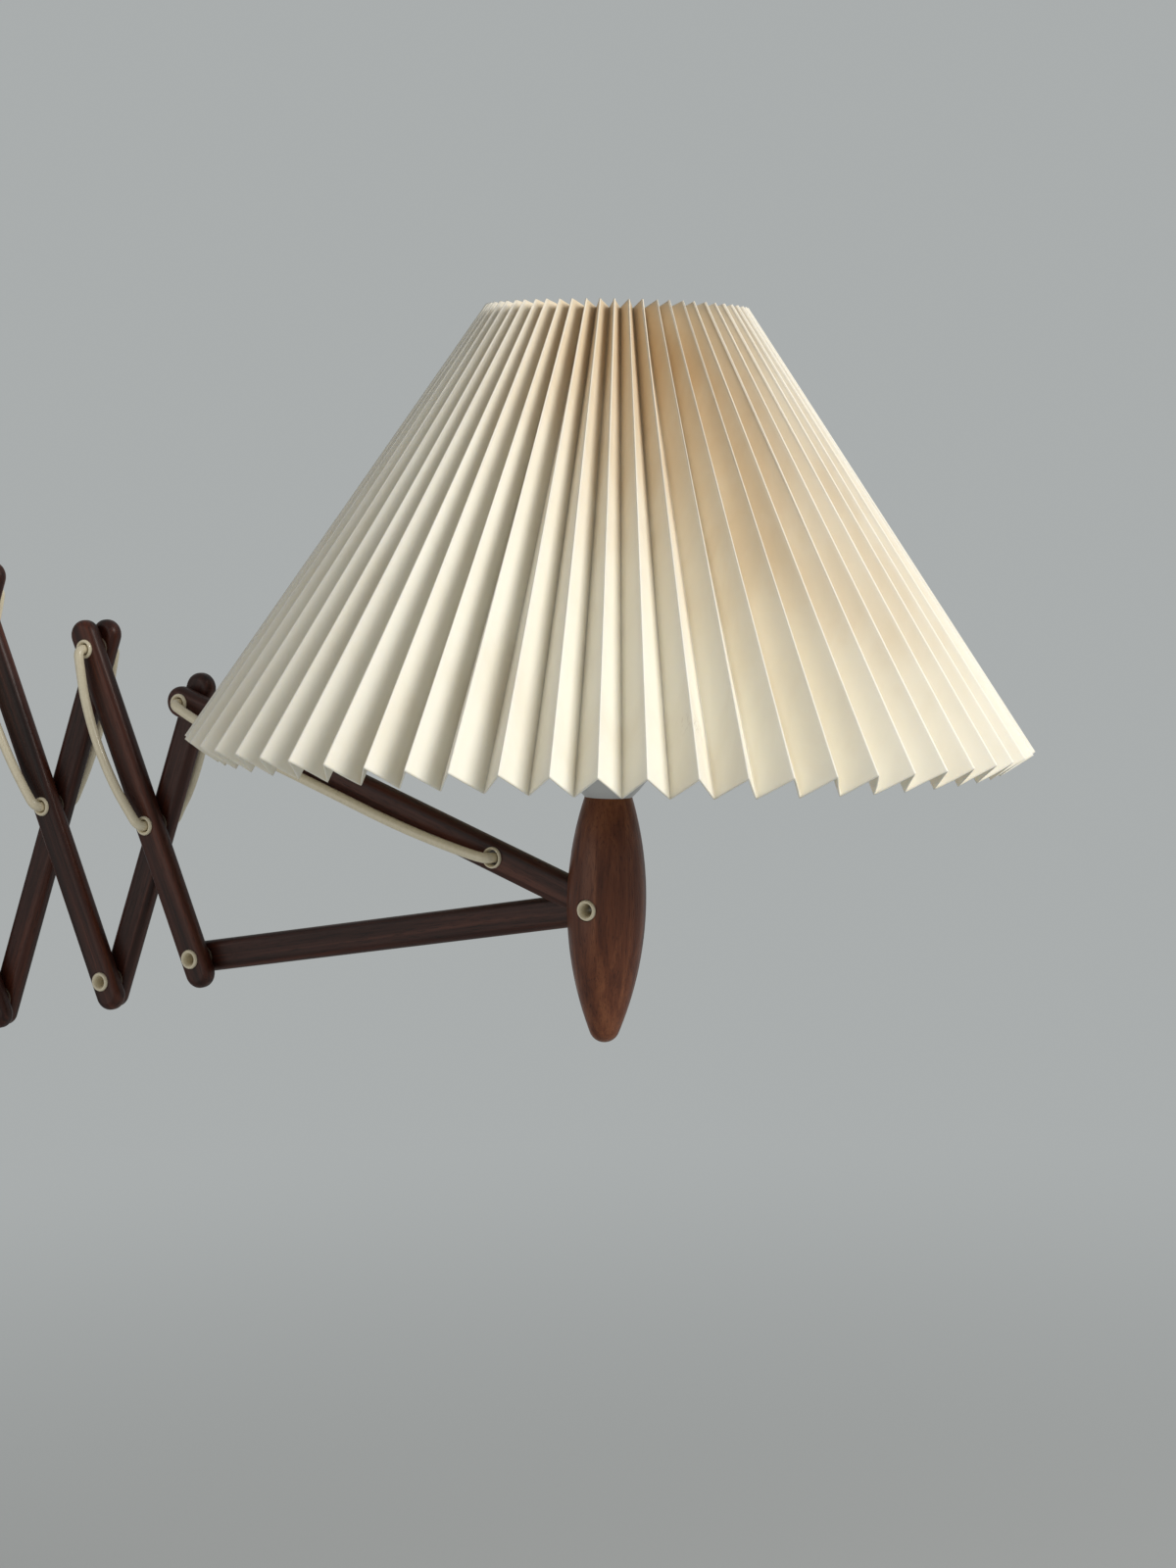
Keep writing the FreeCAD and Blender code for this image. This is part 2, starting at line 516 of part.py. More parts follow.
stop_outer = solid("Cylinder", "stop_outer", Radius="dims.stop_radius", Height="dims.stop_height")
stop_inner = solid("Cylinder", "stop_inner", Radius="dims.rod_radius + dims.seat_fit",
                   Height="dims.stop_height")
stop_z = D["upper_pivot_height"] - D["collar_height"] / 2 - D["collar_play"] - D["stop_height"]
keep("stop_ring", less("stop_ring_cut", stop_outer, stop_inner), V(D["rod_reach"], 0, stop_z))


def collar(name, layer):
    """A collar that turns on the rod, with an ear for a link's end in one of the two layers."""
    hub = solid("Cylinder", name + "_hub", Radius="dims.collar_radius", Height="dims.collar_height")
    hub.setExpression("Placement.Base.z", "-dims.collar_height / 2")
    ear = solid("Box", name + "_ear", Length="dims.ear_reach", Width="dims.link_thickness",
                Height="dims.link_width")
    ear.setExpression("Placement.Base.z", "-dims.link_width / 2")
    tip = solid("Cylinder", name + "_tip", V(0, 0, 0), ALONG_Y, Radius="dims.link_width / 2",
                Height="dims.link_thickness")
    tip.setExpression("Placement.Base.x", "dims.ear_reach")
    hole = solid("Cylinder", name + "_hole", V(0, 0, 0), ALONG_Y,
                 Radius="dims.rivet_radius + dims.running_fit", Height="dims.link_thickness")
    hole.setExpression("Placement.Base.x", "dims.ear_reach")
    if layer > 0:
        near = "dims.layer_gap / 2"
    else:
        near = "-dims.layer_gap / 2 - dims.link_thickness"
    for piece in (ear, tip, hole):
        piece.setExpression("Placement.Base.y", near)
    bore = solid("Cylinder", name + "_bore", Radius="dims.rod_radius + dims.running_fit",
                 Height="2 * dims.collar_height")
    bore.setExpression("Placement.Base.z", "-dims.collar_height")
    return less(name, joined(name + "_solid", [hub, ear, tip]), joined(name + "_cuts", [hole, bore]))


keep("upper_collar", collar("upper_collar", 1), V(D["rod_reach"], 0, top[4].z))
keep("lower_collar", collar("lower_collar", -1), V(D["rod_reach"], 0, low[4].z))

# ------------------------------------------------------------------ turned spindle
TILT = FreeCAD.Rotation(V(0, 1, 0), D["head_tilt"])


def head(name, thing):
    """Put a piece that is drawn about the spindle pivot on the tilted head."""
    return keep(name, thing, spindle_pivot, TILT)


spindle = doc.addObject("PartDesign::Body", "spindle")
profile = new_sketch(spindle, "spindle_profile")
arc_r, nose_r = D["spindle_arc"], D["nose_radius"]
arc_x = D["spindle_radius"] - arc_r
belly = D["spindle_belly"]
top_r = arc_x + math.sqrt(arc_r**2 - (D["spindle_top"] - belly) ** 2)
nose_z = belly - math.sqrt((arc_r - nose_r) ** 2 - arc_x**2)
meet = V(arc_x, belly, 0) + (V(0, nose_z, 0) - V(arc_x, belly, 0)).normalize() * arc_r
start_angle = math.atan2(meet.y - belly, meet.x - arc_x)
end_angle = math.atan2(D["spindle_top"] - belly, top_r - arc_x)
profile.addGeometry(Part.ArcOfCircle(Part.Circle(V(arc_x, belly, 0), UP, arc_r), start_angle, end_angle))
profile.addGeometry(Part.LineSegment(V(top_r, D["spindle_top"], 0), V(0, D["spindle_top"], 0)))
profile.addGeometry(Part.LineSegment(V(0, D["spindle_top"], 0), V(0, nose_z - nose_r, 0)))
profile.addGeometry(Part.ArcOfCircle(Part.Circle(V(0, nose_z, 0), UP, nose_r), -math.pi / 2, start_angle))
for rule in (("Coincident", 0, 2, 1, 1), ("Coincident", 1, 2, 2, 1), ("Coincident", 2, 2, 3, 1),
             ("Tangent", 3, 2, 0, 1), ("Horizontal", 1), ("PointOnObject", 1, 2, -2),
             ("PointOnObject", 3, 1, -2), ("PointOnObject", 3, 3, -2)):
    profile.addConstraint(Sketcher.Constraint(*rule))
for rule, expression in (
        (("Radius", 0, arc_r), "dims.spindle_arc"),
        (("Radius", 3, nose_r), "dims.nose_radius"),
        (("DistanceX", 0, 3, -1, 1, -arc_x), "dims.spindle_arc - dims.spindle_radius"),
        (("DistanceY", -1, 1, 0, 3, belly), "dims.spindle_belly"),
        (("DistanceY", -1, 1, 1, 2, D["spindle_top"]), "dims.spindle_top")):
    at = profile.addConstraint(Sketcher.Constraint(*rule))
    profile.setExpression(f"Constraints[{at}]", expression)
turned = spindle.newObject("PartDesign::Revolution", "spindle_turned")
turned.Profile = profile
turned.ReferenceAxis = (profile, ["V_Axis"])
turned.Angle = 360
doc.recompute()

slot = solid("Box", "spindle_slot", Length="2 * dims.spindle_radius",
             Width="2 * dims.link_thickness + dims.layer_gap + 2 * dims.slot_play",
             Height="dims.slot_top - dims.slot_bottom")
slot.setExpression("Placement.Base.x", "dims.slot_end - 2 * dims.spindle_radius")
slot.setExpression("Placement.Base.y",
                   "-dims.link_thickness - dims.layer_gap / 2 - dims.slot_play")
slot.setExpression("Placement.Base.z", "dims.slot_bottom")
pin_hole = solid("Cylinder", "spindle_pin_hole", V(0, 0, 0), ALONG_Y,
                 Radius="dims.rivet_radius + dims.seat_fit", Height="4 * dims.spindle_radius")
pin_hole.setExpression("Placement.Base.y", "-2 * dims.spindle_radius")
spots = []
for side in (-1, 1):
    spot = solid("Cylinder", f"spindle_spot_{side + 1}", V(0, 0, 0), ALONG_Y,
                 Radius="dims.rivet_flange + dims.crown_edge", Height="dims.spindle_radius")
    spot.setExpression("Placement.Base.y",
                       "dims.spot_face" if side > 0 else "-dims.spot_face - dims.spindle_radius")
    spots.append(spot)
seat = solid("Cylinder", "spindle_seat", Radius="dims.nipple_radius + dims.seat_fit",
             Height="2 * dims.nipple_seat")
seat.setExpression("Placement.Base.z", "dims.spindle_top - dims.nipple_seat")
flex_way = solid("Cylinder", "spindle_flex_way", Radius="dims.nipple_bore",
                 Height="dims.spindle_top")
head("spindle", less("spindle_cut", spindle,
                     joined("spindle_tools", [slot, pin_hole, seat, flex_way] + spots)))
spindle.Label = "spindle_blank"

# ------------------------------------------------------------------ pivot through the spindle
FRONT_HALF = "dims.spot_face - dims.layer_gap / 2 + dims.running_fit"  # through the front arm too
REAR_HALF = "dims.spot_face - dims.link_thickness - dims.layer_gap / 2 - dims.slot_play"
for name, length, side, turn in (("front", FRONT_HALF, -1, ALONG_Y),
                                 ("rear", REAR_HALF, 1, FreeCAD.Rotation(V(1, 0, 0), 90))):
    place = spindle_pivot + TILT.multVec(V(0, side * D["spot_face"], 0))
    keep(f"spindle_rivet_{name}", rivet(f"spindle_rivet_{name}", length, False), place,
         TILT.multiply(turn))
arm_bush_outer = solid("Cylinder", "arm_bush_outer", Radius="dims.rivet_radius",
                       Height="dims.link_thickness")
arm_bush_inner = solid("Cylinder", "arm_bush_inner", Radius="dims.rivet_bore",
                       Height="dims.link_thickness")
keep("arm_bush", less("arm_bush_cut", arm_bush_outer, arm_bush_inner),
     spindle_pivot + V(0, D["layer_gap"] / 2, 0), ALONG_Y)


# ------------------------------------------------------------------ lampholder
def turned_shell(name, outline):
    """A piece turned about Z from (radius, height) points that run round its wall."""
    wire = Part.makePolygon([V(r, 0, z) for r, z in outline + outline[:1]])
    thing = doc.addObject("Part::Feature", name)
    thing.Shape = Part.Face(wire).revolve(V(0, 0, 0), UP, 360)
    return thing


def tube(name, outer, inner, height, foot):
    """A plain ring about Z: outer and inner radius, height, and the height of its foot."""
    whole = solid("Cylinder", name + "_outer", Radius=outer, Height=height)
    hollow = solid("Cylinder", name + "_inner", Radius=inner, Height=height)
    whole.setExpression("Placement.Base.z", foot)
    hollow.setExpression("Placement.Base.z", foot)
    return less(name, whole, hollow)


foot_z, shell_w = D["spindle_top"], D["holder_wall"]
head("nipple", tube("nipple", "dims.nipple_radius", "dims.nipple_bore", "dims.nipple_length",
                    "dims.spindle_top - dims.nipple_seat"))
cap_top = foot_z + D["cap_height"]
holder_r, nipple_hole = D["holder_radius"], D["nipple_radius"] + D["seat_fit"]
cap_outline = [
    (nipple_hole, foot_z), (D["cap_foot"], foot_z),
    (D["cap_foot"] + D["cap_flare"], foot_z + D["cap_lip"]),
    (holder_r - shell_w, foot_z + D["cap_shoulder"]), (holder_r, foot_z + D["cap_side"]),
    (holder_r, cap_top), (holder_r - shell_w, cap_top), (holder_r - shell_w, foot_z + D["cap_side_inside"]),
    (holder_r - 2 * shell_w, foot_z + D["cap_shoulder_inside"]), (nipple_hole, foot_z + D["cap_floor"]),
]
head("holder_cap", turned_shell("holder_cap", cap_outline))
head("holder_skirt", tube("holder_skirt", "dims.holder_radius",
                          "dims.holder_radius - dims.holder_wall", "dims.skirt_height",
                          "dims.spindle_top + dims.cap_height"))
insulator_z = "dims.spindle_top + dims.cap_height - dims.insulator_height / 2"
insulator = solid("Cylinder", "insulator_disc", Radius="dims.insulator_radius",
                  Height="dims.insulator_height")
insulator.setExpression("Placement.Base.z", insulator_z)
wire_ways = []
for side in (-1, 1):
    wire_way = solid("Cylinder", f"insulator_way_{side + 1}", Radius="dims.insulator_way",
                     Height="2 * dims.insulator_height")
    wire_way.setExpression("Placement.Base.x", f"{side} * dims.way_reach")
    wire_way.setExpression("Placement.Base.z", insulator_z + " - dims.insulator_height / 2")
    wire_ways.append(wire_way)
head("socket_insulator", less("insulator_cut", insulator, joined("insulator_ways", wire_ways)))
socket_foot = "dims.spindle_top + dims.cap_height + dims.insulator_height / 2"
head("socket_shell", tube("socket_shell", "dims.shell_radius", "dims.shell_radius - dims.shell_wall",
                          "dims.shell_height", socket_foot))
contact = solid("Cone", "contact_cone", Radius1="dims.contact_radius",
                Radius2="dims.contact_radius / 2", Height="dims.contact_height")
socket_z = D["spindle_top"] + D["cap_height"] + D["insulator_height"] / 2
keep("centre_contact", contact, spindle_pivot + TILT.multVec(UP * socket_z), TILT)
ring_foot = "dims.spindle_top + dims.cap_height + dims.skirt_height - dims.ring_drop - dims.ring_height"
ring_top = cap_top + D["skirt_height"] - D["ring_drop"]
head("shade_ring", tube("shade_ring", "dims.ring_radius", "dims.holder_radius + dims.seat_fit",
                        "dims.ring_height", ring_foot))


# ------------------------------------------------------------------ routes of straight runs and arcs
def route_wire(points, label):
    """Straight runs joined by tangent arcs; prints the arcs' radii."""
    edges, radii, at = [], [], points[0]
    for before, corner, after in zip(points, points[1:], points[2:]):
        a, b = (before - corner), (after - corner)
        turn = math.pi - a.getAngle(b)
        if turn < 1e-4:
            continue
        radius = 0.45 * min(a.Length, b.Length) / math.tan(turn / 2)
        back = radius * math.tan(turn / 2)
        a.normalize()
        b.normalize()
        first, last = corner + a * back, corner + b * back
        middle = (a + b).normalize()
        centre_of_arc = corner + middle * (radius / math.cos(turn / 2))
        edges.append(Part.LineSegment(at, first).toShape())
        edges.append(Part.Arc(first, centre_of_arc - middle * radius, last).toShape())
        radii.append(round(radius, 1))
        at = last
    edges.append(Part.LineSegment(at, points[-1]).toShape())
    print(label, "arc radii", radii, "length", round(sum(e.Length for e in edges), 1))
    return Part.Wire(edges)


def sweep(points, radius, label):
    """A round tube along a route."""
    path = route_wire(points, label)
    start = points[0]
    section = Part.Wire(Part.Circle(start, points[1] - start, radius).toShape())
    swept = path.makePipeShell([section], True, False)
    ideal = math.pi * radius**2 * path.Length
    if abs(swept.Volume - ideal) > 0.02 * ideal:
        print("tube volume differs", label, swept.Volume, ideal)
    return swept


def flex(name, points):
    """A stretch of the flex."""
    thing = doc.addObject("Part::Feature", name)
    thing.Shape = sweep(points, D["flex_radius"], name)
    keep(name, thing)


HALF_GAP = D["flex_gap"] / 2
CORNER = OUTER + D["flex_lift"]  # depth of the flex's middle where it lies on a link


def along_link(start, end, side, bow):
    """A stretch outside one layer between two hollow rivets; side is -1 in front and 1 behind."""
    way = end - start
    out = V(way.z, 0, -way.x).normalize()
    if out.z > 0:
        out = out * -1
    depth = V(0, side, 0)
    inside, straight, outside = depth * HALF_GAP, depth * D["flex_straight"], depth * CORNER
    shares = ((0.22, 0.75), (0.5, 1.0), (0.78, 0.75))
    between = [start + way * share + out * (bow * part) + outside for share, part in shares]
    first, last = [start + inside, start + straight], [end + straight, end + inside]
    return first + [start + outside] + between + [end + outside] + last


for stage in (1, 2, 3):
    flex(f"flex_front_{stage}", along_link(top[stage + 1], centre[stage], -1, D["flex_bow_front"]))
    flex(f"flex_rear_{stage}", along_link(centre[stage], top[stage], 1, D["flex_bow_rear"]))

# The arm's stretch enters its eyelet, turns into the groove behind and ends inside the spindle's slot.
arm_run = entry_place - top[1]
sag = V(arm_run.z, 0, -arm_run.x).normalize() * D["flex_bow_arm"]
groove_y = -D["layer_gap"] / 2 - D["flex_radius"] - D["flex_play"]
lift = V(0, -CORNER, 0)
arm_points = [top[1] + V(0, -HALF_GAP, 0), top[1] + V(0, -D["flex_straight"], 0), top[1] + lift]
arm_points += [top[1] + arm_run * share + sag * part + lift
               for share, part in ((0.1, 0.6), (0.28, 1.0), (0.5, 0.95), (0.72, 1.0), (0.9, 0.6))]
arm_points += [entry_place + lift, entry_place + V(0, groove_y, 0),
               spindle_pivot - way * (D["groove_end"] + D["flex_play"]) + V(0, groove_y, 0)]
flex("flex_arm", arm_points)

to_insulator = "dims.spindle_top + dims.cap_height - dims.insulator_height / 2 - dims.flex_gap"
keep("flex_spindle", solid("Cylinder", "flex_spindle", Radius="dims.flex_radius",
                           Height=to_insulator + " - dims.slot_flex_start"),
     spindle_pivot + TILT.multVec(UP * D["slot_flex_start"]), TILT)

rod_x, rod_top = D["rod_reach"], D["rod_top"]
flex("flex_collar", [top[4] + V(0, HALF_GAP, 0), top[4] + V(0, 18, 0), V(rod_x + 24, 19, 142),
                     V(rod_x + 15, 16, 166), V(rod_x + 3, 6, 184), V(rod_x, 0, 171),
                     V(rod_x, 0, rod_top - 4)])
flex("flex_wall", [V(rod_x, 0, rod_top - 4.3), V(rod_x, 0, D["rod_bottom"] - 2),
                   V(rod_x, 0, FLEX_OUTLET), V(D["board_depth"], 0, FLEX_OUTLET),
                   V(D["board_depth"] - D["flex_tail"], 0, FLEX_OUTLET)])

# ------------------------------------------------------------------ shade carrier and pleated shade
wire_r, sheet_t = D["carrier_wire"], D["carrier_sheet"]
seat_plate = Part.makeCylinder(D["ring_radius"], sheet_t, V(0, 0, ring_top)).cut(
    Part.makeCylinder(D["holder_radius"] + D["plate_screw_play"], sheet_t, V(0, 0, ring_top)))
ring_z = D["shade_bottom"] + D["shade_height"] - D["carrier_rise"]
carrier_pieces = [seat_plate, Part.makeTorus(D["carrier_ring"], wire_r, V(0, 0, ring_z))]
for number in range(CARRIER_ARMS):
    turn = FreeCAD.Rotation(UP, D["carrier_turn"] + 360 / CARRIER_ARMS * number)
    bend = [V(holder_r + wire_r, 0, ring_top + wire_r + D["plate_screw_play"]),
            V(D["carrier_elbow"], 0, ring_top + D["elbow_rise"]),
            V(D["carrier_ring"], 0, ring_z)]
    carrier_pieces.append(sweep([turn.multVec(p) for p in bend], wire_r, f"carrier arm {number}"))
carrier = doc.addObject("Part::Feature", "shade_carrier")
carrier.Shape = carrier_pieces[0].fuse(carrier_pieces[1:])
head("shade_carrier", carrier)


def zigzag(radius, depth, height, slant):
    """One edge of the pleated sheet: ridge and valley points in turn, the valleys set in and lower."""
    points = []
    for number in range(2 * PLEATS):
        angle = math.pi * number / PLEATS
        inset = depth * (number % 2)
        r = radius - inset
        points.append(V(r * math.cos(angle), r * math.sin(angle), height - inset * slant))
    return points


slant = (D["shade_radius"] - D["shade_top_radius"]) / D["shade_height"]
shade_top = D["shade_bottom"] + D["shade_height"]
skin = D["shade_skin"]
rows = [zigzag(D["shade_radius"], D["pleat_depth"], D["shade_bottom"], slant),
        zigzag(D["shade_radius"] - skin, D["pleat_depth"], D["shade_bottom"], slant),
        zigzag(D["shade_top_radius"] - skin, D["pleat_depth_top"], shade_top, slant),
        zigzag(D["shade_top_radius"], D["pleat_depth_top"], shade_top, slant)]
folds = 2 * PLEATS
corner_points = [point for row in rows for point in row]
triangles = []
for row in range(len(rows)):
    this, after = row * folds, (row + 1) % len(rows) * folds
    for i in range(folds):
        j = (i + 1) % folds
        triangles += [(this + i, after + j, this + j), (this + i, after + i, after + j)]
pleated_skin = Part.Shape()
pleated_skin.makeShapeFromMesh((corner_points, triangles), D["seat_fit"])
pleated_solid = Part.makeSolid(pleated_skin.Shells[0])
if not pleated_skin.Shells[0].isClosed() or pleated_solid.Volume <= 0:
    raise RuntimeError("the pleated sheet is not closed")
shade = doc.addObject("Part::Feature", "shade")
shade.Shape = pleated_solid
head("shade", shade)

# ------------------------------------------------------------------ check and write
doc.recompute()
for thing in doc.Objects:
    if "Invalid" in thing.State or "Error" in thing.State:
        raise RuntimeError(f"{thing.Name} failed: {thing.State}")
os.makedirs("parts", exist_ok=True)
for name, thing in finished.items():
    if thing.Shape.isNull() or not thing.Shape.isValid() or thing.Shape.Volume <= 0:
        raise RuntimeError(f"{name} has no valid shape")
for name, thing in finished.items():
    thing.Shape.exportStep(f"parts/{name}.step")
print(len(finished), "sub-parts; spindle pivot at", spindle_pivot, "lower collar at", low[4])
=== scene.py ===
"""Accordion wall lamp: its finishes, pleated shade, flex and rivets, and the studio around them.

Metres throughout, but for the noise cells, two flex routes and the camera's film and lens, which are
given in millimetres.
+X points out of the wall towards the shade, +Z is up, and the front links lie at -Y.
"""

import json
import logging
import math
from dataclasses import dataclass
from enum import Enum
from functools import cache

import bpy
from mathutils import Matrix, Vector

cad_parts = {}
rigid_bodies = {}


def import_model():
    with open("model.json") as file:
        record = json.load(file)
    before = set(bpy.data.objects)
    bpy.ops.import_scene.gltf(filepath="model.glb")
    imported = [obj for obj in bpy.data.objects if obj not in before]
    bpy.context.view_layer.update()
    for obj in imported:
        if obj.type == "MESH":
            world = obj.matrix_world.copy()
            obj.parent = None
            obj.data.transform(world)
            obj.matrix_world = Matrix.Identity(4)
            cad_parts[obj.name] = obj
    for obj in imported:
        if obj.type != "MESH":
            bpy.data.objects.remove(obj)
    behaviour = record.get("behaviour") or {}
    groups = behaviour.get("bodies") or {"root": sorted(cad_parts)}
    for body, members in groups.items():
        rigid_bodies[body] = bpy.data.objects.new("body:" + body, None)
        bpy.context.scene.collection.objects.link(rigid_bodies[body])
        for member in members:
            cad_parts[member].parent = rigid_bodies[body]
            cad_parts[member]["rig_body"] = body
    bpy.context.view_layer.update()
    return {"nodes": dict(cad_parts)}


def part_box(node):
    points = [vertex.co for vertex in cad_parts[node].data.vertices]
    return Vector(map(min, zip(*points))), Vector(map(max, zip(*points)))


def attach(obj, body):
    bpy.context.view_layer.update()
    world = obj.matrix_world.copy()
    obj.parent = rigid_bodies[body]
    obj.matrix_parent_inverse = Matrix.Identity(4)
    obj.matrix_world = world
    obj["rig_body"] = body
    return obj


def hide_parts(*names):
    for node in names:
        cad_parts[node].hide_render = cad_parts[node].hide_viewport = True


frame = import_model()

log = logging.getLogger("lamp")
MM = 0.001
Colour = tuple[float, float, float]
Place = tuple[float, float, float]
Shares = tuple[tuple[float, float], ...]
Socket = bpy.types.NodeSocket

# The side of the scissors, as the sign of Y.
FRONT, REAR = -1, 1
# Blender's noise lies mostly between these values.
NOISE_LOW, NOISE_HIGH = 0.3, 0.7
# The mix node repeats its sockets for each kind of data; these are the colour ones.
MIX_SHARE, MIX_FIRST, MIX_SECOND, MIX_RESULT = 0, 6, 7, 2


def shaded(colour: Colour, share: float) -> Colour:
    """A colour with each part cut to a share of itself."""
    return tuple(share * part for part in colour)


# ---------------------------------------------------------------- node trees
class Graph:
    """A material's node tree, with short calls for the nodes that the finishes use."""

    def __init__(self, name: str) -> None:
        """Start a material with one Principled surface.

        Args:
            name: The material's name.
        """
        self.material = bpy.data.materials.new(name)
        self.material.use_nodes = True
        self.tree = self.material.node_tree
        self.tree.nodes.clear()
        self.surface = self.add("ShaderNodeBsdfPrincipled")
        self.output = self.add("ShaderNodeOutputMaterial")
        self.tree.links.new(self.surface.outputs[0], self.output.inputs["Surface"])

    def add(self, kind: str, values: dict | None = None, **settings: object) -> bpy.types.Node:
        """Add a node.

        Args:
            kind: The node's Blender type.
            values: Numbers, colours or sockets for its inputs, by name or index.
            **settings: The node's own properties.

        Returns:
            The new node.
        """
        node = self.tree.nodes.new(kind)
        for key, setting in settings.items():
            setattr(node, key, setting)
        for key, value in (values or {}).items():
            if isinstance(value, Socket):
                self.tree.links.new(value, node.inputs[key])
            else:
                node.inputs[key].default_value = value
        return node

    def place(self, cell: Place, turn: float = 0.0, shift: float = 0.0) -> Socket:
        """Position on the piece, turned about Y and measured in cells of a given size.

        Args:
            cell: The cell's size in millimetres along the turned X, Y and Z.
            turn: Turn about Y in degrees that takes +X to the cell's long side.
            shift: An offset that makes each piece's pattern its own.

        Returns:
            The position's socket.
        """
        where = self.add("ShaderNodeTexCoord").outputs["Object"]
        mapping = self.add(
            "ShaderNodeMapping",
            {"Vector": where, "Location": (shift, shift, shift),
             "Rotation": (0.0, math.radians(turn), 0.0), "Scale": tuple(Vector(cell) * MM)},
            vector_type="TEXTURE")
        return mapping.outputs[0]

    def noise(self, place: Socket, detail: float = 4.0, rough: float = 0.55,
              warp: float = 0.0) -> Socket:
        """Cloudy noise, one cell wide.

        Args:
            place: The position, in cells.
            detail: How many finer layers it has.
            rough: How strong the finer layers are.
            warp: How far it is bent.

        Returns:
            The noise's socket, from 0 to 1.
        """
        node = self.add("ShaderNodeTexNoise", {"Vector": place, "Scale": 1.0, "Detail": detail,
                                               "Roughness": rough, "Distortion": warp})
        return node.outputs["Fac"]

    def span(self, value: Socket, low: float, high: float, to_low: float = 0.0,
             to_high: float = 1.0) -> Socket:
        """Map low..high smoothly to to_low..to_high.

        Args:
            value: The value to map.
            low: Where the result is to_low, as it is below.
            high: Where the result is to_high, as it is above.
            to_low: The result at low.
            to_high: The result at high.

        Returns:
            The result's socket.
        """
        node = self.add("ShaderNodeMapRange", {"Value": value, "From Min": low, "From Max": high,
                                               "To Min": to_low, "To Max": to_high},
                        interpolation_type="SMOOTHSTEP")
        return node.outputs["Result"]

    def ramp(self, value: Socket, stops: list[tuple[float, Colour]]) -> Socket:
        """Colours along a value.

        Args:
            value: The value, from 0 to 1.
            stops: Each stop's place and colour, in rising order.

        Returns:
            The colour's socket.
        """
        node = self.add("ShaderNodeValToRGB", {"Fac": value})
        elements = node.color_ramp.elements
        while len(elements) < len(stops):
            elements.new(0.5)
        for element, (at, colour) in zip(elements, stops):
            element.position = at
            element.color = (*colour, 1.0)
        return node.outputs["Color"]

    def mix(self, share: Socket | float, first: Socket | Colour, second: Socket | Colour) -> Socket:
        """Blend two colours.

        Args:
            share: How much of the second colour.
            first: The first colour.
            second: The second colour.

        Returns:
            The blended colour's socket.
        """
        sides = [colour if isinstance(colour, Socket) else (*colour, 1.0) for colour in (first, second)]
        node = self.add("ShaderNodeMix", {MIX_SHARE: share, MIX_FIRST: sides[0], MIX_SECOND: sides[1]},
                        data_type="RGBA", blend_type="MIX")
        return node.outputs[MIX_RESULT]

    def maths(self, operation: str, first: Socket | float, second: Socket | float) -> Socket:
        """One arithmetic step."""
        return self.add("ShaderNodeMath", {0: first, 1: second}, operation=operation).outputs[0]

    def spot(self, centre: Vector, radius: float) -> Socket:
        """A soft round patch.

        Args:
            centre: Where it is strongest.
            radius: How far out it ends.

        Returns:
            The patch's socket: 1 at its centre and 0 from its radius on.
        """
        where = self.add("ShaderNodeTexCoord").outputs["Object"]
        away = self.add("ShaderNodeVectorMath", {0: where, 1: tuple(centre)}, operation="DISTANCE")
        return self.span(away.outputs["Value"], 0.0, radius, 1.0, 0.0)

    def bump(self, height: Socket, depth: float, strength: float) -> None:
        """Raise the surface by a height map.

        Args:
            height: The height from 0 to 1.
            depth: What a height of 1 stands for, in metres.
            strength: How much of it shows.
        """
        node = self.add("ShaderNodeBump", {"Height": height, "Distance": depth, "Strength": strength})
        self.feed("Normal", node.outputs[0])

    def feed(self, name: str, source: Socket) -> None:
        """Link a socket to the surface's input of that name."""
        self.tree.links.new(source, self.surface.inputs[name])

    def fix(self, **constants: object) -> None:
        """Set the surface's plain inputs; an underscore in a name stands for a space."""
        for name, value in constants.items():
            self.surface.inputs[name.replace("_", " ")].default_value = value


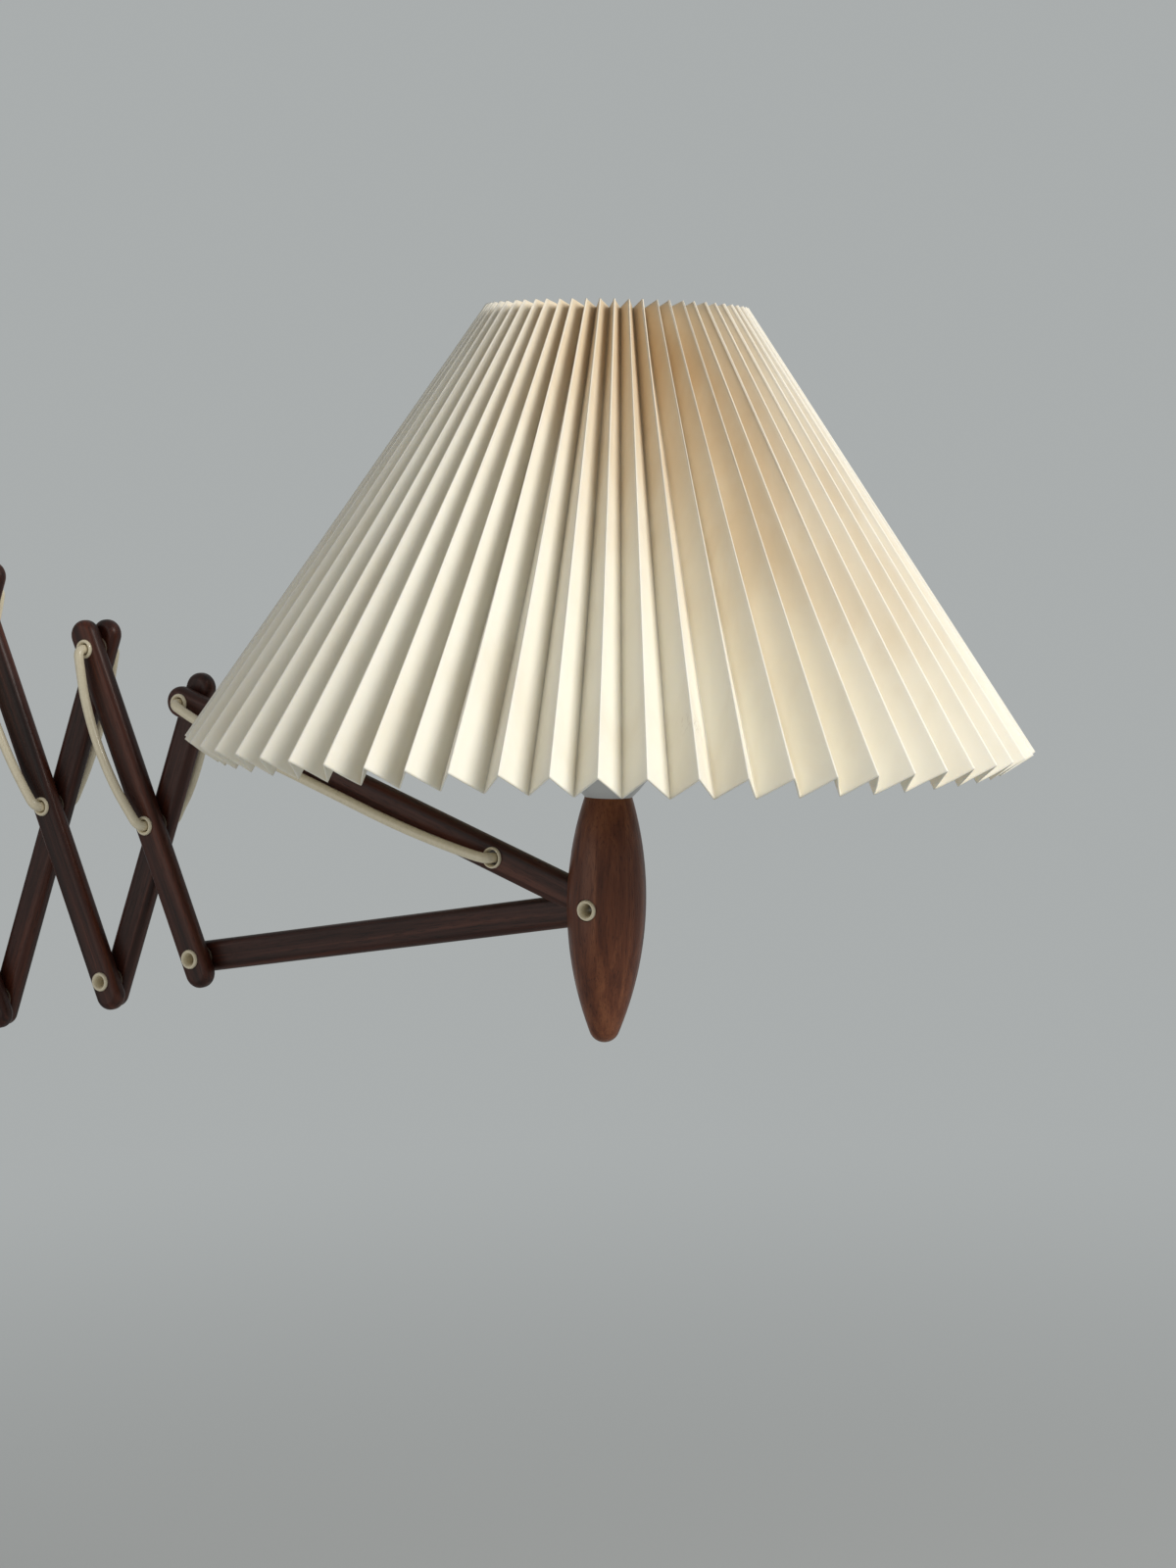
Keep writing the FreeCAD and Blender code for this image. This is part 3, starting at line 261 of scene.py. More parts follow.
# ---------------------------------------------------------------- finishes
@dataclass(frozen=True)
class WoodFinish:
    """Oiled hardwood with long streaks and fine open pores.

    `along` is the grain's turn about Y in degrees, and `seed` says where in the log the piece was cut.
    """

    name: str
    dark: Colour
    middle: Colour
    light: Colour
    along: float
    seed: float
    roughness: float = 0.42
    roughness_swing: float = 0.08
    streak_cell: Place = (150.0, 3.2, 3.2)
    streak_share: float = 0.62
    streak_height: float = 0.3
    broad_cell: Place = (210.0, 11.0, 11.0)
    broad_shift: float = 1.3
    pore_cell: Place = (7.0, 0.42, 0.42)
    pore_share: float = 0.55
    pore_shade: float = 0.35
    relief: float = 0.06 * MM

    def build(self) -> bpy.types.Material:
        """Make the material.

        Returns:
            The material.
        """
        graph = Graph(self.name)
        streak_place = graph.place(self.streak_cell, self.along, self.seed)
        broad_place = graph.place(self.broad_cell, self.along, self.seed * self.broad_shift)
        pore_place = graph.place(self.pore_cell, self.along, self.seed)
        streaks = graph.noise(streak_place, detail=6.0, rough=0.62, warp=0.5)
        broad = graph.noise(broad_place, detail=3.0, rough=0.5, warp=0.8)
        pores = graph.span(graph.noise(pore_place, detail=2.0, rough=0.5), low=0.56, high=0.68)
        tone = graph.maths("ADD", graph.maths("MULTIPLY", streaks, self.streak_share),
                           graph.maths("MULTIPLY", broad, 1 - self.streak_share))
        colour = graph.ramp(tone, [(0.36, self.dark), (0.5, self.middle), (0.64, self.light)])
        pored = graph.mix(graph.maths("MULTIPLY", pores, self.pore_share), colour,
                          shaded(self.dark, self.pore_shade))
        graph.feed("Base Color", pored)
        graph.feed("Roughness", graph.span(streaks, NOISE_LOW, NOISE_HIGH,
                                           self.roughness + self.roughness_swing,
                                           self.roughness - self.roughness_swing))
        height = graph.maths("SUBTRACT", graph.maths("MULTIPLY", streaks, self.streak_height), pores)
        graph.bump(height, self.relief, strength=0.55)
        graph.fix(Coat_Weight=0.06, Coat_Roughness=0.25, Specular_IOR_Level=0.26)
        return graph.material


@dataclass(frozen=True)
class PlasticFinish:
    """Moulded plastic with a faint cloudiness, rubbed places and handling dirt."""

    name: str
    colour: Colour
    dirt: Colour
    roughness: float
    dirt_share: float = 0.18
    coat: float = 0.25
    cloud_cell: Place = (14.0, 14.0, 14.0)
    rub_cell: Place = (2.2, 2.2, 2.2)
    relief: float = 0.02 * MM

    def build(self) -> bpy.types.Material:
        """Make the material.

        Returns:
            The material.
        """
        graph = Graph(self.name)
        clouds = graph.noise(graph.place(self.cloud_cell), detail=5.0, rough=0.6, warp=0.3)
        rubs = graph.noise(graph.place(self.rub_cell), detail=4.0, rough=0.6)
        soiling_and_crease_shade = graph.maths("MULTIPLY", graph.span(clouds, low=0.48, high=0.72), self.dirt_share)
        graph.feed("Base Color", graph.mix(soiling_and_crease_shade, self.colour, self.dirt))
        graph.feed("Roughness", graph.span(rubs, low=0.3, high=0.75, to_low=self.roughness - 0.05,
                                           to_high=self.roughness + 0.1))
        graph.bump(rubs, self.relief, strength=0.25)
        graph.fix(Coat_Weight=self.coat, Coat_Roughness=0.12, Specular_IOR_Level=0.5)
        return graph.material


@dataclass(frozen=True)
class MetalFinish:
    """Brushed metal with a little tarnish."""

    name: str
    colour: Colour
    tarnish: Colour
    roughness: float = 0.28
    line_cell: Place = (6.0, 6.0, 0.25)
    patch_cell: Place = (18.0, 18.0, 18.0)
    dull_share: float = 0.6
    dull_roughness: float = 0.2
    relief: float = 0.01 * MM

    def build(self) -> bpy.types.Material:
        """Make the material.

        Returns:
            The material.
        """
        graph = Graph(self.name)
        lines = graph.noise(graph.place(self.line_cell), detail=3.0, rough=0.6)
        patches = graph.noise(graph.place(self.patch_cell), detail=5.0, rough=0.65, warp=0.4)
        dull = graph.span(patches, low=0.45, high=0.75, to_high=self.dull_share)
        graph.feed("Base Color", graph.mix(dull, self.colour, self.tarnish))
        brushed = graph.span(lines, NOISE_LOW, NOISE_HIGH, self.roughness - 0.06, self.roughness + 0.08)
        graph.feed("Roughness", graph.maths("ADD", graph.maths("MULTIPLY", dull, self.dull_roughness),
                                            brushed))
        graph.bump(lines, self.relief, strength=0.3)
        graph.fix(Metallic=1.0)
        return graph.material


@dataclass(frozen=True)
class FibreFinish:
    """Pressed fibre board, as in washers."""

    name: str
    colour: Colour
    fleck: Colour
    fibre_cell: Place = (1.6, 0.3, 0.5)
    fleck_share: float = 0.5
    relief: float = 0.04 * MM

    def build(self) -> bpy.types.Material:
        """Make the material.

        Returns:
            The material.
        """
        graph = Graph(self.name)
        fibres = graph.noise(graph.place(self.fibre_cell), detail=4.0, rough=0.65, warp=0.6)
        flecks = graph.span(fibres, low=0.5, high=0.72, to_high=self.fleck_share)
        graph.feed("Base Color", graph.mix(flecks, self.colour, self.fleck))
        graph.bump(fibres, self.relief, strength=0.5)
        graph.fix(Roughness=0.75)
        return graph.material


@dataclass(frozen=True)
class Patch:
    """A round patch on a surface, and how much of it shows at its middle."""

    centre: Vector
    radius: float
    share: float = 1.0


@dataclass(frozen=True)
class PleatFinish:
    """Laminated off-white folded sheet, age-stained and marked, with mottled grime, painted shade in its
    valleys and painted highlights on its ridges.
    """

    name: str
    sheet: Colour
    # painted highlight along the ridges
    ridge_highlight: Colour
    # mottled grime over the sheet, and painted shade in its valleys
    soil_and_crease_shade: Colour
    stain_and_shade_colour: Colour
    stain_and_shade_patches: tuple[Patch, ...]
    marks: tuple[Patch, ...]
    mottle_cell: Place = (30.0, 30.0, 60.0)
    mottle_share: float = 0.22
    grain_cell: Place = (0.9, 0.9, 0.9)
    smudge_cell: Place = (1.5, 1.5, 4.5)
    ridge_highlight_share: float = 0.55
    mark_shade: float = 0.45
    relief: float = 0.03 * MM

    def build(self) -> bpy.types.Material:
        """Make the material; the mesh's ridge and valley attributes say where its folds are.

        Returns:
            The material.
        """
        graph = Graph(self.name)
        mottle = graph.noise(graph.place(self.mottle_cell), detail=5.0, rough=0.6, warp=0.5)
        grain = graph.noise(graph.place(self.grain_cell), detail=3.0, rough=0.7)
        colour = graph.mix(graph.span(mottle, low=0.4, high=0.75, to_high=self.mottle_share),
                           self.sheet, self.soil_and_crease_shade)
        # brown patches: heat-stained places, and one patch of painted shade that Shade.build adds
        for patch in self.stain_and_shade_patches:
            cover = graph.maths("MULTIPLY", graph.spot(patch.centre, patch.radius), patch.share)
            uneven = graph.span(mottle, low=0.2, high=0.65, to_low=0.6)
            colour = graph.mix(graph.maths("MULTIPLY", cover, uneven), colour, self.stain_and_shade_colour)
        # painted shade: each valley is darkened along its crease, broken up by the mottle
        valley = graph.add("ShaderNodeAttribute", attribute_name="valley").outputs["Fac"]
        ridge = graph.add("ShaderNodeAttribute", attribute_name="ridge").outputs["Fac"]
        soiling_and_crease_shade = graph.maths("MULTIPLY", valley,
                             graph.span(mottle, NOISE_LOW, NOISE_HIGH, to_low=0.15, to_high=0.5))
        colour = graph.mix(soiling_and_crease_shade, colour, self.soil_and_crease_shade)
        # painted highlight: each ridge is lightened along its fold
        colour = graph.mix(graph.maths("MULTIPLY", ridge, self.ridge_highlight_share), colour, self.ridge_highlight)
        smudge = graph.noise(graph.place(self.smudge_cell), detail=4.0, rough=0.7)
        for patch in self.marks:
            cover = graph.maths("MULTIPLY", graph.spot(patch.centre, patch.radius),
                                graph.span(smudge, low=0.5, high=0.75))
            colour = graph.mix(cover, colour, shaded(self.stain_and_shade_colour, self.mark_shade))
        graph.feed("Base Color", colour)
        graph.feed("Roughness", graph.span(grain, NOISE_LOW, NOISE_HIGH, to_low=0.5, to_high=0.66))
        graph.bump(grain, self.relief, strength=0.35)
        graph.fix(Subsurface_Weight=0.2, Subsurface_Radius=(1.0, 0.8, 0.55), Subsurface_Scale=1.5 * MM,
                  Sheen_Weight=0.05, Specular_IOR_Level=0.35)
        return graph.material


class Finish(Enum):
    """The finishes that need no place or direction of their own."""

    CREAM = PlasticFinish("cream_plastic", colour=(0.78, 0.7, 0.52), dirt=(0.5, 0.39, 0.24),
                          roughness=0.26)
    # the holder's plastic is white; its grey here is painted shade
    HOLDER = PlasticFinish("holder_plastic", colour=(0.52, 0.53, 0.53), dirt=(0.28, 0.28, 0.27),
                           roughness=0.38, dirt_share=0.2, coat=0.1)
    PORCELAIN = PlasticFinish("white_insulator", colour=(0.74, 0.73, 0.69), dirt=(0.5, 0.47, 0.4),
                              roughness=0.3)
    WIRE = PlasticFinish("white_lacquer", colour=(0.72, 0.7, 0.65), dirt=(0.4, 0.36, 0.3),
                         roughness=0.35)
    BRASS = MetalFinish("brass", colour=(0.62, 0.43, 0.18), tarnish=(0.26, 0.17, 0.08))
    STEEL = MetalFinish("steel", colour=(0.48, 0.48, 0.47), tarnish=(0.25, 0.24, 0.22), roughness=0.34)
    FIBRE = FibreFinish("fibre", colour=(0.09, 0.065, 0.045), fleck=(0.2, 0.15, 0.1))


@cache
def finish_of(choice: Finish) -> bpy.types.Material:
    """The material of a shared finish, made once."""
    return choice.value.build()


# ---------------------------------------------------------------- dressing and small builders
def dress(node: str, material: bpy.types.Material) -> None:
    """Give a node of the frame its material.

    Args:
        node: The node's name.
        material: The material for every face.
    """
    piece = frame["nodes"][node]
    if not piece.material_slots:
        piece.data.materials.append(material)
    for slot in piece.material_slots:
        slot.material = material
    log.info("%s dressed", node)


def place_piece(piece: bpy.types.Object, node: str, material: bpy.types.Material) -> None:
    """Let a finished piece stand for a node and hang it on that node's body.

    Args:
        piece: The piece.
        node: The node that it replaces.
        material: Its material.
    """
    body = frame["nodes"][node]["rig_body"]
    piece.data.materials.append(material)
    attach(piece, body)
    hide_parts(node)
    log.info("%s rides on %s", piece.name, body)


def middle(node: str) -> Vector:
    """The middle of a node's box, on the plane between the two layers of links."""
    low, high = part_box(node)
    return Vector(((low.x + high.x) / 2, 0.0, (low.z + high.z) / 2))


def square_to(run: Vector) -> Vector:
    """The direction in the links' plane that is square to a line."""
    return Vector((run.z, 0.0, -run.x)).normalized()


def grid_faces(rows: int, width: int, closed: bool) -> list[tuple[int, ...]]:
    """Faces of a grid of points whose rows each run round to their own start.

    Args:
        rows: How many rows of points there are.
        width: How many points a row has.
        closed: Whether the last row joins the first one.

    Returns:
        Each face's four points.
    """
    faces = []
    for row in range(rows if closed else rows - 1):
        this, after = row * width, (row + 1) % rows * width
        for i in range(width):
            j = (i + 1) % width
            faces.append((this + i, this + j, after + j, after + i))
    return faces


def new_mesh(name: str, points: list[Vector], faces: list[tuple[int, ...]]) -> bpy.types.Object:
    """A smooth-shaded mesh object in the scene.

    Args:
        name: The piece's name.
        points: Its points.
        faces: Each face's points, by number.

    Returns:
        The object.
    """
    mesh = bpy.data.meshes.new(name)
    mesh.from_pydata([tuple(point) for point in points], [], faces)
    mesh.update()
    mesh.shade_smooth()
    piece = bpy.data.objects.new(name, mesh)
    bpy.context.scene.collection.objects.link(piece)
    return piece


def turned(name: str, outline: list[tuple[float, float]], centre: Vector,
           steps: int = 40) -> bpy.types.Object:
    """A closed ring turned about a line along Y.

    Args:
        name: The piece's name.
        outline: (radius, y) points that run round the ring's wall.
        centre: A point on the axis; its y is added to the outline's.
        steps: Faces round the ring.

    Returns:
        The ring.
    """
    points = []
    for step in range(steps):
        angle = 2 * math.pi * step / steps
        points += [centre + Vector((radius * math.cos(angle), y, radius * math.sin(angle)))
                   for radius, y in outline]
    return new_mesh(name, points, grid_faces(steps, len(outline), closed=True))


def tube(name: str, route: list[Vector], radius: float) -> bpy.types.Object:
    """A round flex along a smooth line.

    Args:
        name: The piece's name.
        route: The line's control points.
        radius: The flex's radius.

    Returns:
        The curve object.
    """
    curve = bpy.data.curves.new(name, "CURVE")
    curve.dimensions = "3D"
    curve.bevel_depth = radius
    curve.bevel_resolution = 6
    curve.use_fill_caps = True
    curve.resolution_u = 14
    spline = curve.splines.new("NURBS")
    spline.points.add(len(route) - 1)
    for point, place in zip(spline.points, route):
        point.co = (*place, 1.0)
    spline.order_u = 3
    spline.use_endpoint_u = True
    piece = bpy.data.objects.new(name, curve)
    bpy.context.scene.collection.objects.link(piece)
    return piece


# ---------------------------------------------------------------- scissors
@dataclass
class Scissors:
    """The six links, the two arms and the wall board, of dark streaked wood, and the fibre washers."""

    # the wood's own dark tone, darkened further with painted shade: the links and board are much darker
    # than the spindle's wood
    dark: Colour = (0.01, 0.003, 0.0018)
    middle_tone: Colour = (0.04, 0.0098, 0.0052)
    light: Colour = (0.09, 0.0235, 0.0112)

    def grain(self, node: str, start: Vector, end: Vector, seed: float) -> None:
        """Give one bar wood whose grain runs from start to end.

        Args:
            node: The bar.
            start: One pivot.
            end: The other pivot.
            seed: Where in the log the bar was cut.
        """
        run = end - start
        turn = -math.degrees(math.atan2(run.z, run.x))
        wood = WoodFinish(f"{node}_wood", self.dark, self.middle_tone, self.light, turn, seed)
        dress(node, wood.build())

    def build(self) -> None:
        """Dress every bar, the board and the washers."""
        for stage in (1, 2, 3):
            upper, lower = middle(f"rivet_upper_{stage + 1}"), middle(f"rivet_lower_{stage}")
            self.grain(f"front_link_{stage}", upper, lower, seed=0.31 * stage)
            upper, lower = middle(f"rivet_upper_{stage}"), middle(f"rivet_lower_{stage + 1}")
            self.grain(f"rear_link_{stage}", lower, upper, seed=0.17 + 0.23 * stage)
        spindle = middle("arm_bush")
        self.grain("front_arm", middle("rivet_upper_1"), spindle, seed=1.37)
        self.grain("rear_arm", middle("rivet_lower_1"), spindle, seed=2.21)
        self.grain("wall_board", Vector((0, 0, 0)), Vector((0, 0, 1)), seed=3.05)
        for node in frame["nodes"]:
            if node.startswith("washer"):
                dress(node, finish_of(Finish.FIBRE))


# ---------------------------------------------------------------- rivets
class Flanges(Enum):
    """Which ends of a hollow rivet are rolled over."""

    BOTH = ("front", "rear")
    FRONT = ("front",)
    REAR = ("rear",)


@dataclass
class HollowRivet:
    """A moulded eyelet with rolled rims, in the place of one node.

    `profile` runs from inside the bore over the rim to its underside, in shares of the rim's swell
    outwards and of its height inwards.
    """

    node: str
    flanges: Flanges
    barrel: float = 3.3 * MM
    bore: float = 2.45 * MM
    rim: float = 4.4 * MM
    rim_height: float = 1.5 * MM
    profile: Shares = ((0.0, 1.7), (0.1, 0.95), (0.26, 0.38), (0.48, 0.05), (0.68, 0.04), (0.88, 0.3),
                       (1.0, 0.68), (1.0, 1.0))

    def rolled(self, end: float, inward: int) -> list[tuple[float, float]]:
        """One rolled rim, from the bore's wall out to the barrel.

        Args:
            end: The y of the rim's outermost face.
            inward: The side, FRONT or REAR, that the rivet lies on from this end.

        Returns:
            (radius, y) points.
        """
        swell = self.rim - self.bore
        points = [(self.bore + swell * out, end + inward * self.rim_height * down)
                  for out, down in self.profile]
        return points + [(self.barrel, end + inward * self.rim_height)]

    def plain(self, end: float) -> list[tuple[float, float]]:
        """A straight cut end, from the bore's wall out to the barrel."""
        return [(self.bore, end), (self.barrel, end)]

    def build(self) -> None:
        """Make the rivet and hang it on its body."""
        low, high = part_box(self.node)
        front = self.rolled(low.y, REAR) if "front" in self.flanges.value else self.plain(low.y)
        rear = self.rolled(high.y, FRONT) if "rear" in self.flanges.value else self.plain(high.y)
        piece = turned(f"{self.node}_eyelet", front + rear[::-1], middle(self.node))
        place_piece(piece, self.node, finish_of(Finish.CREAM))


@dataclass
class Rivets:
    """All the hollow rivets, the entry eyelet and the plain bushes in the rear arm and the board."""

    entry_barrel: float = 3.9 * MM
    entry_bore: float = 3.2 * MM
    entry_rim: float = 4.6 * MM

    def build(self) -> None:
        """Make each rivet."""
        for node in frame["nodes"]:
            if node.startswith("rivet_"):
                HollowRivet(node, Flanges.BOTH).build()
        HollowRivet("spindle_rivet_front", Flanges.FRONT).build()
        HollowRivet("spindle_rivet_rear", Flanges.REAR).build()
        HollowRivet("flex_eyelet", Flanges.FRONT, self.entry_barrel, self.entry_bore,
                    self.entry_rim).build()
        dress("arm_bush", finish_of(Finish.CREAM))
        dress("outlet_bush", finish_of(Finish.CREAM))


# ---------------------------------------------------------------- flex
@dataclass
class Flex:
    """The cream flex, threaded from rivet to rivet; each stretch rides on what holds it.

    `sag` and `arm_sag` give shares of the way along a stretch and of its bow there.  The collar's
    and the wall's routes are in millimetres.
    """

    radius: float = 2.2 * MM
    depth: float = 13.2 * MM
    turn_depth: float = 5.5 * MM
    tuck: float = 0.15 * MM
    lead: float = 8.0 * MM
    lead_bow: float = 0.3
    bow_front: float = 7.0 * MM
    bow_rear: float = 3.5 * MM
    bow_arm: float = 4.5 * MM
    sag: Shares = ((0.26, 0.8), (0.5, 1.02), (0.74, 0.8))
    arm_sag: Shares = ((0.13, 0.65), (0.28, 1.0), (0.5, 0.95), (0.72, 1.0), (0.87, 0.65))
    entry_reach: float = 54.5 * MM
    entry_lead: float = 0.9
    entry_dip: float = 2.4
    groove_y: float = -2.9 * MM
    groove_end: float = 14.2 * MM
    collar_depth: float = 18 * MM
    collar_route: tuple[Place, ...] = ((54, 19, 142), (45, 16, 166), (33, 6, 184), (30, 0, 171),
                                       (30, 0, 148))
    wall_route: tuple[Place, ...] = ((30, 0, 147.7), (30, 0, -148), (30, 0, -164), (16, 0, -164),
                                     (7, 0, -164))

    def out_of(self, pivot: Vector, side: int) -> list[Vector]:
        """The points that carry the flex out of a rivet to outside the links."""
        return [pivot + Vector((0.0, side * reach, 0.0))
                for reach in (self.tuck, self.turn_depth, self.depth)]

    def stretch(self, start: Vector, end: Vector, side: int, bow: float) -> list[Vector]:
        """The line outside one layer from rivet to rivet.

        Args:
            start: The first pivot.
            end: The second pivot.
            side: FRONT or REAR.
            bow: How far the line's middle stands off to the lower side.

        Returns:
            The control points.
        """
        run = end - start
        off = square_to(run)
        if off.z > 0:
            off = -off
        step, out = run.normalized() * self.lead, Vector((0.0, side * self.depth, 0.0))
        lead_off = off * bow * self.lead_bow
        between = [start + run * share + off * (bow * part) + out for share, part in self.sag]
        return (self.out_of(start, side) + [start + step + lead_off + out] + between
                + [end - step + lead_off + out] + self.out_of(end, side)[::-1])

    def arm_route(self) -> list[Vector]:
        """The line on the front arm, through the entry eyelet and along the groove to the spindle.

        Returns:
            The control points.
        """
        start, pivot = middle("rivet_upper_1"), middle("arm_bush")
        way = (pivot - start).normalized()
        entry = pivot - way * self.entry_reach
        run, step = entry - start, way * self.lead
        off = square_to(run) * self.bow_arm
        out, groove = Vector((0.0, -self.depth, 0.0)), Vector((0.0, self.groove_y, 0.0))
        between = [start + run * share + off * part + out for share, part in self.arm_sag]
        return (self.out_of(start, FRONT) + [start + step + off * self.lead_bow + out] + between
                + [entry - step * self.entry_lead + off * self.lead_bow + out, entry + out,
                   entry + groove * self.entry_dip, entry + groove + way * MM, entry + groove + step,
                   pivot - way * self.groove_end + groove])

    def spindle_route(self) -> list[Vector]:
        """The leaning line inside the spindle, whose cut ends fill its node's box.

        Returns:
            The control points.
        """
        low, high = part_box("flex_spindle")
        lean = math.radians(Shade.lean)
        inset = self.radius * math.sin(lean)
        foot = Vector((low.x + self.radius * math.cos(lean), 0.0, low.z + inset))
        head = Vector((high.x - self.radius * math.cos(lean), 0.0, high.z - inset))
        return [foot, foot.lerp(head, 0.5), head]

    def hang(self, node: str, route: list[Vector]) -> None:
        """Make one stretch in the place of its node."""
        place_piece(tube(f"{node}_tube", route, self.radius), node,
                    finish_of(Finish.CREAM))

    def build(self) -> None:
        """Make every stretch."""
        for stage in (1, 2, 3):
            centre = middle(f"rivet_centre_{stage}")
            self.hang(f"flex_front_{stage}",
                      self.stretch(middle(f"rivet_upper_{stage + 1}"), centre, FRONT, self.bow_front))
            self.hang(f"flex_rear_{stage}",
                      self.stretch(centre, middle(f"rivet_upper_{stage}"), REAR, self.bow_rear))
        self.hang("flex_arm", self.arm_route())
        wall_rivet = middle("rivet_upper_4")
        loop = [wall_rivet + Vector((0, reach, 0)) for reach in (self.tuck, self.collar_depth)]
        self.hang("flex_collar", loop + [Vector(point) * MM for point in self.collar_route])
        self.hang("flex_wall", [Vector(point) * MM for point in self.wall_route])
        self.hang("flex_spindle", self.spindle_route())


# ---------------------------------------------------------------- head
@dataclass
class Spindle:
    """The turned spindle: lighter and warmer than the links, whose colours carry painted shade, with an
    upright grain.
    """

    dark: Colour = (0.065, 0.018, 0.009)
    middle_tone: Colour = (0.135, 0.041, 0.018)
    light: Colour = (0.215, 0.075, 0.032)
    upright: float = -90.0

    def build(self) -> None:
        """Dress the spindle."""
        wood = WoodFinish("spindle_wood", self.dark, self.middle_tone, self.light,
                          along=self.upright + Shade.lean, seed=4.4, roughness=0.36)
        dress("spindle", wood.build())


@dataclass
class Holder:
    """The lampholder, the shade's carrier and their fixings."""

    parts: tuple[tuple[str, Finish], ...] = (
        ("holder_cap", Finish.HOLDER), ("holder_skirt", Finish.HOLDER), ("shade_ring", Finish.HOLDER),
        ("socket_insulator", Finish.PORCELAIN), ("shade_carrier", Finish.WIRE), ("nipple", Finish.BRASS),
        ("socket_shell", Finish.BRASS), ("centre_contact", Finish.BRASS))

    def build(self) -> None:
        """Dress each part."""
        for node, choice in self.parts:
            dress(node, finish_of(choice))


@dataclass
class Shade:
    """The pleated cone: one folded sheet with uneven folds and a thin cut edge.

    Heights run from 0 at the foot to 1 at the top.  The folds' unevenness is sines of the fold's
    number, whose steps (in radians a fold) don't divide the turn, so that no pattern shows.
    """

    lean: float = 2.6
    pleats: int = 60
    foot_radius: float = 174.8 * MM
    top_radius: float = 53.8 * MM
    foot: float = 69.5 * MM
    rise: float = 177.9 * MM
    foot_depth: float = 12.0 * MM
    top_depth: float = 9.0 * MM
    sheet: float = 0.55 * MM
    swing: float = 0.0028
    top_swing_share: float = 1.6
    slow_swing_share: float = 0.6
    depth_swing: float = 0.05
    foot_step: float = 2.39
    slow_step: float = 0.91
    top_step: float = 1.71
    depth_step: float = 3.3
    bow_step: float = 1.3
    bow: float = 0.35 * MM
    bow_twist: float = 2.2
    level_top: float = 0.5
    rows: int = 22
    edge_row: float = 0.004
    fold_band: float = 0.08
    columns: tuple[float, ...] = (0.0, 0.045, 0.16, 0.5, 0.84, 0.955)

    def in_place(self, point: Vector) -> Vector:
        """Lean a point that is given about the spindle's pivot, and carry it to its place."""
        return middle("arm_bush") + Matrix.Rotation(math.radians(self.lean), 3, "Y") @ point

    def cone_radius(self, height: float) -> float:
        """The cone's radius over the ridges."""
        return self.foot_radius + (self.top_radius - self.foot_radius) * height

    def fold(self, number: int, height: float) -> Vector:
        """A point on one fold line.

        Args:
            number: The fold's number; even ones are ridges and odd ones valleys.
            height: 0 at the shade's foot and 1 at its top.

        Returns:
            The point, about the spindle's pivot.
        """
        foot_swing = (math.sin(number * self.foot_step)
                      + self.slow_swing_share * math.sin(number * self.slow_step + 1.0))
        top_swing = math.sin(number * self.top_step + 2.0)
        angle = math.pi * number / self.pleats
        angle += self.swing * (foot_swing * (1 - height) + self.top_swing_share * top_swing * height)
        radius = self.cone_radius(height)
        depth = self.foot_depth + (self.top_depth - self.foot_depth) * height
        inset = depth * (number % 2) * (1 + self.depth_swing * math.sin(number * self.depth_step))
        # a valley sits lower than its ridges: square to the cone's wall at the foot, less at the top
        slant = (self.foot_radius - self.top_radius) / self.rise * (1 - self.level_top * height)
        return Vector(((radius - inset) * math.cos(angle), (radius - inset) * math.sin(angle),
                       self.foot + self.rise * height - inset * slant))

    def heights(self) -> list[float]:
        """The rows' heights, with one close to each cut edge."""
        inner = [row / self.rows for row in range(1, self.rows)]
        return [0.0, self.edge_row, *inner, 1 - self.edge_row, 1.0]

    def build_mesh(self) -> bpy.types.Object:
        """Fold the sheet and mark its ridges and valleys for the finish.

        Returns:
            The shade.
        """
        heights, folds = self.heights(), 2 * self.pleats
        points, ridge, valley = [], [], []
        for height in heights:
            for number in range(folds):
                this, after = self.fold(number, height), self.fold((number + 1) % folds, height)
                across = (after - this).normalized()
                outward = Vector((this.x, this.y, 0.0)).normalized()
                normal = (outward - across * outward.dot(across)).normalized()
                for share in self.columns:
                    swell = self.bow * 4 * share * (1 - share) * math.sin(
                        number * self.bow_step + self.bow_twist * height)
                    near = max(0.0, 1 - share / self.fold_band)
                    far = max(0.0, 1 - (1 - share) / self.fold_band)
                    points.append(self.in_place(this.lerp(after, share) + normal * swell))
                    ridge.append(near if number % 2 == 0 else far)
                    valley.append(far if number % 2 == 0 else near)
        faces = grid_faces(len(heights), folds * len(self.columns), closed=False)
        piece = new_mesh("pleated_shade", points, faces)
        for name, values in (("ridge", ridge), ("valley", valley)):
            piece.data.attributes.new(name, "FLOAT", "POINT").data.foreach_set("value", values)
        solidify = piece.modifiers.new("sheet", "SOLIDIFY")
        solidify.thickness = self.sheet
        solidify.offset = -1.0
        return piece

    def patch(self, bearing: float, height: float, radius: float, share: float = 1.0) -> Patch:
        """A patch on the cone.

        Args:
            bearing: Degrees round the shade, from +X towards +Y.
            height: 0 at the foot and 1 at the top.
            radius: The patch's radius.
            share: How much of it shows at its middle.

        Returns:
            The patch.
        """
        out = self.cone_radius(height) - self.foot_depth / 2
        angle = math.radians(bearing)
        centre = Vector((out * math.cos(angle), out * math.sin(angle), self.foot + self.rise * height))
        return Patch(self.in_place(centre), radius, share)

